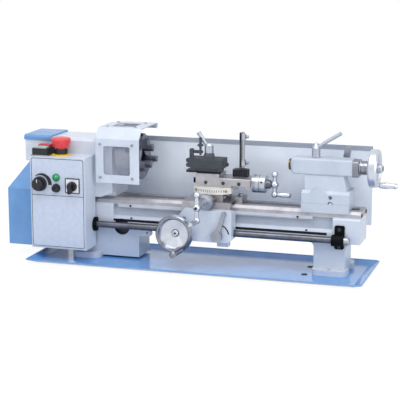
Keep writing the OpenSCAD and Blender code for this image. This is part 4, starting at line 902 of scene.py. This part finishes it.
# Rolled thread of the lead screw
leadThread = {"start": -227, "turns": 170, "pitch": 3, "steps": 18, "axis": (0, -46, 77), "radius": 6.85,
              "crest": 0.34}
clearSelection()
bpy.ops.mesh.primitive_circle_add(vertices=3, radius=leadThread["crest"] * mm, rotation=lay["y"])
applyPlace()
editMode()
pickAllMesh()
bpy.ops.transform.translate(value=Vector((leadThread["start"], 0, leadThread["radius"])) * mm)
applyModifier("SCREW", axis="X", screw_offset=leadThread["pitch"] * mm, iterations=leadThread["turns"],
              steps=leadThread["steps"], render_steps=leadThread["steps"])
editMode()
pickAllMesh()
bpy.ops.mesh.fill_holes(sides=4)
pickAllMesh()
bpy.ops.mesh.normals_make_consistent(inside=False)
bpy.ops.object.mode_set(mode="OBJECT")
bpy.context.object.location = Vector(leadThread["axis"]) * mm
applyPlace()
finishPiece("leadThread", "screw", "lead")

# Bolts through the black lead screw bracket
bracketBolt = {"place": (300.5, -40), "heights": (62, 99), "head": (4, 3)}
socketScrew(*bracketBolt["head"])
placeCopies([((*bracketBolt["place"], z), front) for z in bracketBolt["heights"]])
finishPiece("bracketBolts", "dark", "frame")

# Screws on the right end of the bed
bedEndScrew = {"end": 343, "along": (-24, 24), "height": 128, "head": (4.6, 1.6)}
socketScrew(*bedEndScrew["head"])
placeCopies([((bedEndScrew["end"], y, bedEndScrew["height"]), right) for y in bedEndScrew["along"]])
finishPiece("bedEndScrews", "dark", "frame")
print("bed and carriage dressed")

# Rings on the tail thimble
thimble = {"first": 336.4, "step": 2.6, "count": 6, "height": 224,
           "outline": [(13.5, -0.7), (14.3, -0.7), (14.6, -0.3), (14.6, 0.3), (14.3, 0.7), (13.5, 0.7),
                       (13.5, -0.7)]}
startTurned(thimble["outline"], 48)
placeCopies([((thimble["first"] + thimble["step"] * i, 0, thimble["height"]), right)
             for i in range(thimble["count"])])
finishPiece("thimbleRings", "dark", "tail_handwheel")

# Six-sided nut on the tail wheel
tailNut = {"place": (380.5, 0, 224), "sides": 6,
           "outline": [(0, -1), (6, -1), (6.4, 0.2), (6, 0.6), (3.4, 0.6), (3, 0.1), (0, 0.1)]}
startTurned(tailNut["outline"], tailNut["sides"])
placeCopies([(tailNut["place"], right)])
finishPiece("tailWheelNut", "ink", "tail_handwheel")

# Painted bolt on the foot of the tailstock
tailBolt = {"place": (278, -27.5, 149), "head": (3.4, 3)}
hexBolt(*tailBolt["head"])
placeCopies([(tailBolt["place"], up)])
finishPiece("tailFootBolt", "white", "tailstock")
print("tailstock dressed")

# Chuck face: ring round the bore and cap screws between the jaws
chuckFace = {"middle": (-142, 0, 224), "screw": (4, 0.9), "screwRing": 37, "between": (30, 150, 270),
             "ringOutline": [(19, -0.5), (19.4, 0.5), (20, 0.8), (21.6, 0.8), (22.2, 0.5), (22.6, -0.5),
                             (19, -0.5)]}
startTurned(chuckFace["ringOutline"], 64)
ring = placeCopies([(chuckFace["middle"], right)])
socketScrew(*chuckFace["screw"])
joinAll([ring, placeCopies(ringPlaces(chuckFace["middle"], chuckFace["screwRing"], chuckFace["between"]))])
finishPiece("chuckFaceScrews", "zinc", "spindle")

# Cooling fins on the open side of the motor, and its end screws
motorFins = {"axis": (72, 100), "root": 32, "tip": 36.5, "thick": 1.8, "span": (-356, -276), "count": 19,
             "sweep": 180, "chamfer": 0.4}
finLeft, finRight = motorFins["span"]
motorY, motorZ = motorFins["axis"]
startBlock((finLeft, motorY - motorFins["thick"] / 2, motorZ + motorFins["root"]),
           (finRight, motorY + motorFins["thick"] / 2, motorZ + motorFins["tip"]))
pickFaces(up)
insetBy(motorFins["chamfer"])
spinCopies(motorFins["count"], motorFins["sweep"], (0, motorY, motorZ), right)
finishPiece("motorFins", "dark", "frame")
motorScrew = {"head": (2.6, 2.4), "ring": 26, "turns": (45, 135, 225, 315)}
socketScrew(*motorScrew["head"])
placeCopies(ringPlaces((boxOf("motor")[1].x, motorY, motorZ), motorScrew["ring"], motorScrew["turns"]))
finishPiece("motorEndScrews", "zinc", "frame")

# Round nuts that hold the end cover
coverNut = {"end": -434, "at": ((-30, 60), (60, 60)),
            "outline": [(0, 0), (8, 0), (8.6, 0.6), (8.6, 6.4), (8, 7), (5, 7), (4.6, 6.2), (0, 6.2)]}
startTurned(coverNut["outline"], 28)
placeCopies([((coverNut["end"], y, z), left) for y, z in coverNut["at"]])
finishPiece("coverNuts", "zinc", "frame")

# Two screws on each bracket of the splash guard
splashScrew = {"brackets": (-180, 60, 250), "sides": (-11, 11), "face": 80, "height": 110, "head": (4.2, 3.4)}
hexBolt(*splashScrew["head"])
placeCopies([((x + side, splashScrew["face"], splashScrew["height"]), back)
             for x in splashScrew["brackets"] for side in splashScrew["sides"]])
finishPiece("splashScrews", "zinc", "frame")

# Flange under the start and stop switch
switchFlange = {"out": 2.5, "thick": 2.2, "corner": 4, "round": 0.8}
switchLow, switchHigh = boxOf("switch_frame")
flangeOut = Vector((switchFlange["out"], switchFlange["out"], 0))
startPlate((switchLow - flangeOut)[:2], (switchHigh + flangeOut)[:2], switchLow.z,
           switchFlange["corner"], "z")
thicken(switchFlange["thick"])
roundEdges(switchFlange["round"])
finishPiece("switchFlange", "lever", "frame")

# Ribbed skirt and white pointer of the speed knob
knobRibs = {"count": 30, "root": 11.4, "tip": 13.5, "thick": 1.2, "start": 2.4, "stop": 13.4, "chamfer": 0.25}
startBlock((knobAt.x - knobRibs["thick"] / 2, knobLow.y + knobRibs["start"], knobAt.z + knobRibs["root"]),
           (knobAt.x + knobRibs["thick"] / 2, knobLow.y + knobRibs["stop"], knobAt.z + knobRibs["tip"]))
pickFaces(up)
insetBy(knobRibs["chamfer"])
spinFullRound(knobRibs["count"], (knobAt.x, 0, knobAt.z), back)
finishPiece("knobRibs", "blackPlastic", "speed_knob")
knobPointer = {"half": 0.7, "foot": 5.2, "top": 12, "rise": 0.15, "sunk": 1, "chamfer": 0.15}
startBlock((knobAt.x - knobPointer["half"], knobLow.y - knobPointer["rise"], knobAt.z + knobPointer["foot"]),
           (knobAt.x + knobPointer["half"], knobLow.y + knobPointer["sunk"], knobAt.z + knobPointer["top"]))
pickFaces(front)
insetBy(knobPointer["chamfer"])
finishPiece("knobPointer", "whitePlastic", "speed_knob")
print("headstock end dressed")

# Pale floor that keeps the shadow, and a white surround
floorPlate = {"size": 12, "drop": 0.5, "colour": "#f2f4f7", "lift": 0.86, "glow": 1.08}  # size m, drop mm
clearSelection()
bpy.ops.mesh.primitive_plane_add(size=floorPlate["size"],
                                 location=(0, 0, cadBox[0].z - floorPlate["drop"] * mm))
applyPlace()
floor = bpy.context.object
floor.name = "studioFloor"


def seenDirectly(tree):  # 1 for the camera, and for what metal and clear sheet show
    rays = addNode(tree, "ShaderNodeLightPath")
    direct = addNode(tree, "ShaderNodeMath", {"operation": "MAXIMUM"},
                     {0: (rays, "Is Camera Ray"), 1: (rays, "Is Glossy Ray")})
    return addNode(tree, "ShaderNodeMath", {"operation": "MAXIMUM"},
                   {0: (direct, "Value"), 1: (rays, "Is Transmission Ray")})


def floorCoat(tree, coords):
    lift = addNode(tree, "ShaderNodeMath", {"operation": "MULTIPLY", 1: floorPlate["lift"]},
                   {0: (seenDirectly(tree), "Value")})
    matt = addNode(tree, "ShaderNodeBsdfDiffuse", {"Color": linear(floorPlate["colour"])})
    white = addNode(tree, "ShaderNodeEmission", {"Color": (1, 1, 1, 1), "Strength": floorPlate["glow"]})
    return addNode(tree, "ShaderNodeMixShader", {},
                   {0: (lift, "Value"), 1: (matt, "BSDF"), 2: (white, "Emission")})


floor.data.materials.append(makeFinish("paleStudioFloor", floorCoat))  # white paper with a soft shadow

room = {"colour": "#f4f7ff", "light": 0.6, "seen": 1.0}
surround = bpy.data.worlds.new("whiteStudio")
surround.use_nodes = True
tree = surround.node_tree
tree.nodes.clear()
dim = addNode(tree, "ShaderNodeBackground", {"Color": linear(room["colour"]), "Strength": room["light"]})
full = addNode(tree, "ShaderNodeBackground", {"Color": (1, 1, 1, 1), "Strength": room["seen"]})
both = addNode(tree, "ShaderNodeMixShader", {},
               {0: (seenDirectly(tree), "Value"), 1: (dim, "Background"), 2: (full, "Background")})
addNode(tree, "ShaderNodeOutputWorld", {}, {"Surface": (both, "Shader")})
bpy.context.scene.world = surround

lamps = {  # places and sizes in m
    "topSoftbox": {"place": (0.1, -1.12, 2.45), "aim": (0.0, 0.0, 0.1), "size": (2.4, 1.6), "watts": 42},
    "leftSoftbox": {"place": (-2.0, -1.9, 1.3), "aim": (0.0, 0.0, 0.1), "size": (1.2, 1.4), "watts": 7},
    "rightCard": {"place": (2.2, -1.4, 1.0), "aim": (0.1, 0.0, 0.1), "size": (1.0, 1.4), "watts": 16},
}
for name, lamp in lamps.items():
    bpy.ops.object.light_add(type="AREA", location=lamp["place"])
    softbox = bpy.context.object
    softbox.name = name
    softbox.data.shape = "RECTANGLE"
    softbox.data.size, softbox.data.size_y = lamp["size"]
    softbox.data.energy = lamp["watts"]
    softbox.rotation_euler = (Vector(lamp["aim"]) - Vector(lamp["place"])).to_track_quat("-Z", "Y").to_euler()

viewpoint = {"place": (0.8147, -2.6432, 0.7032), "tilt": 78.4, "turn": 17.4, "lens": 118.0, "sensor": 36}
bpy.ops.object.camera_add(location=viewpoint["place"],
                          rotation=(math.radians(viewpoint["tilt"]), 0, math.radians(viewpoint["turn"])))
camera = bpy.context.object
camera.name = "frontCamera"
camera.data.lens = viewpoint["lens"]
camera.data.sensor_width = viewpoint["sensor"]
bpy.context.scene.camera = camera
bpy.context.scene.view_settings.view_transform = "Standard"
print("stage, lamps and camera set")
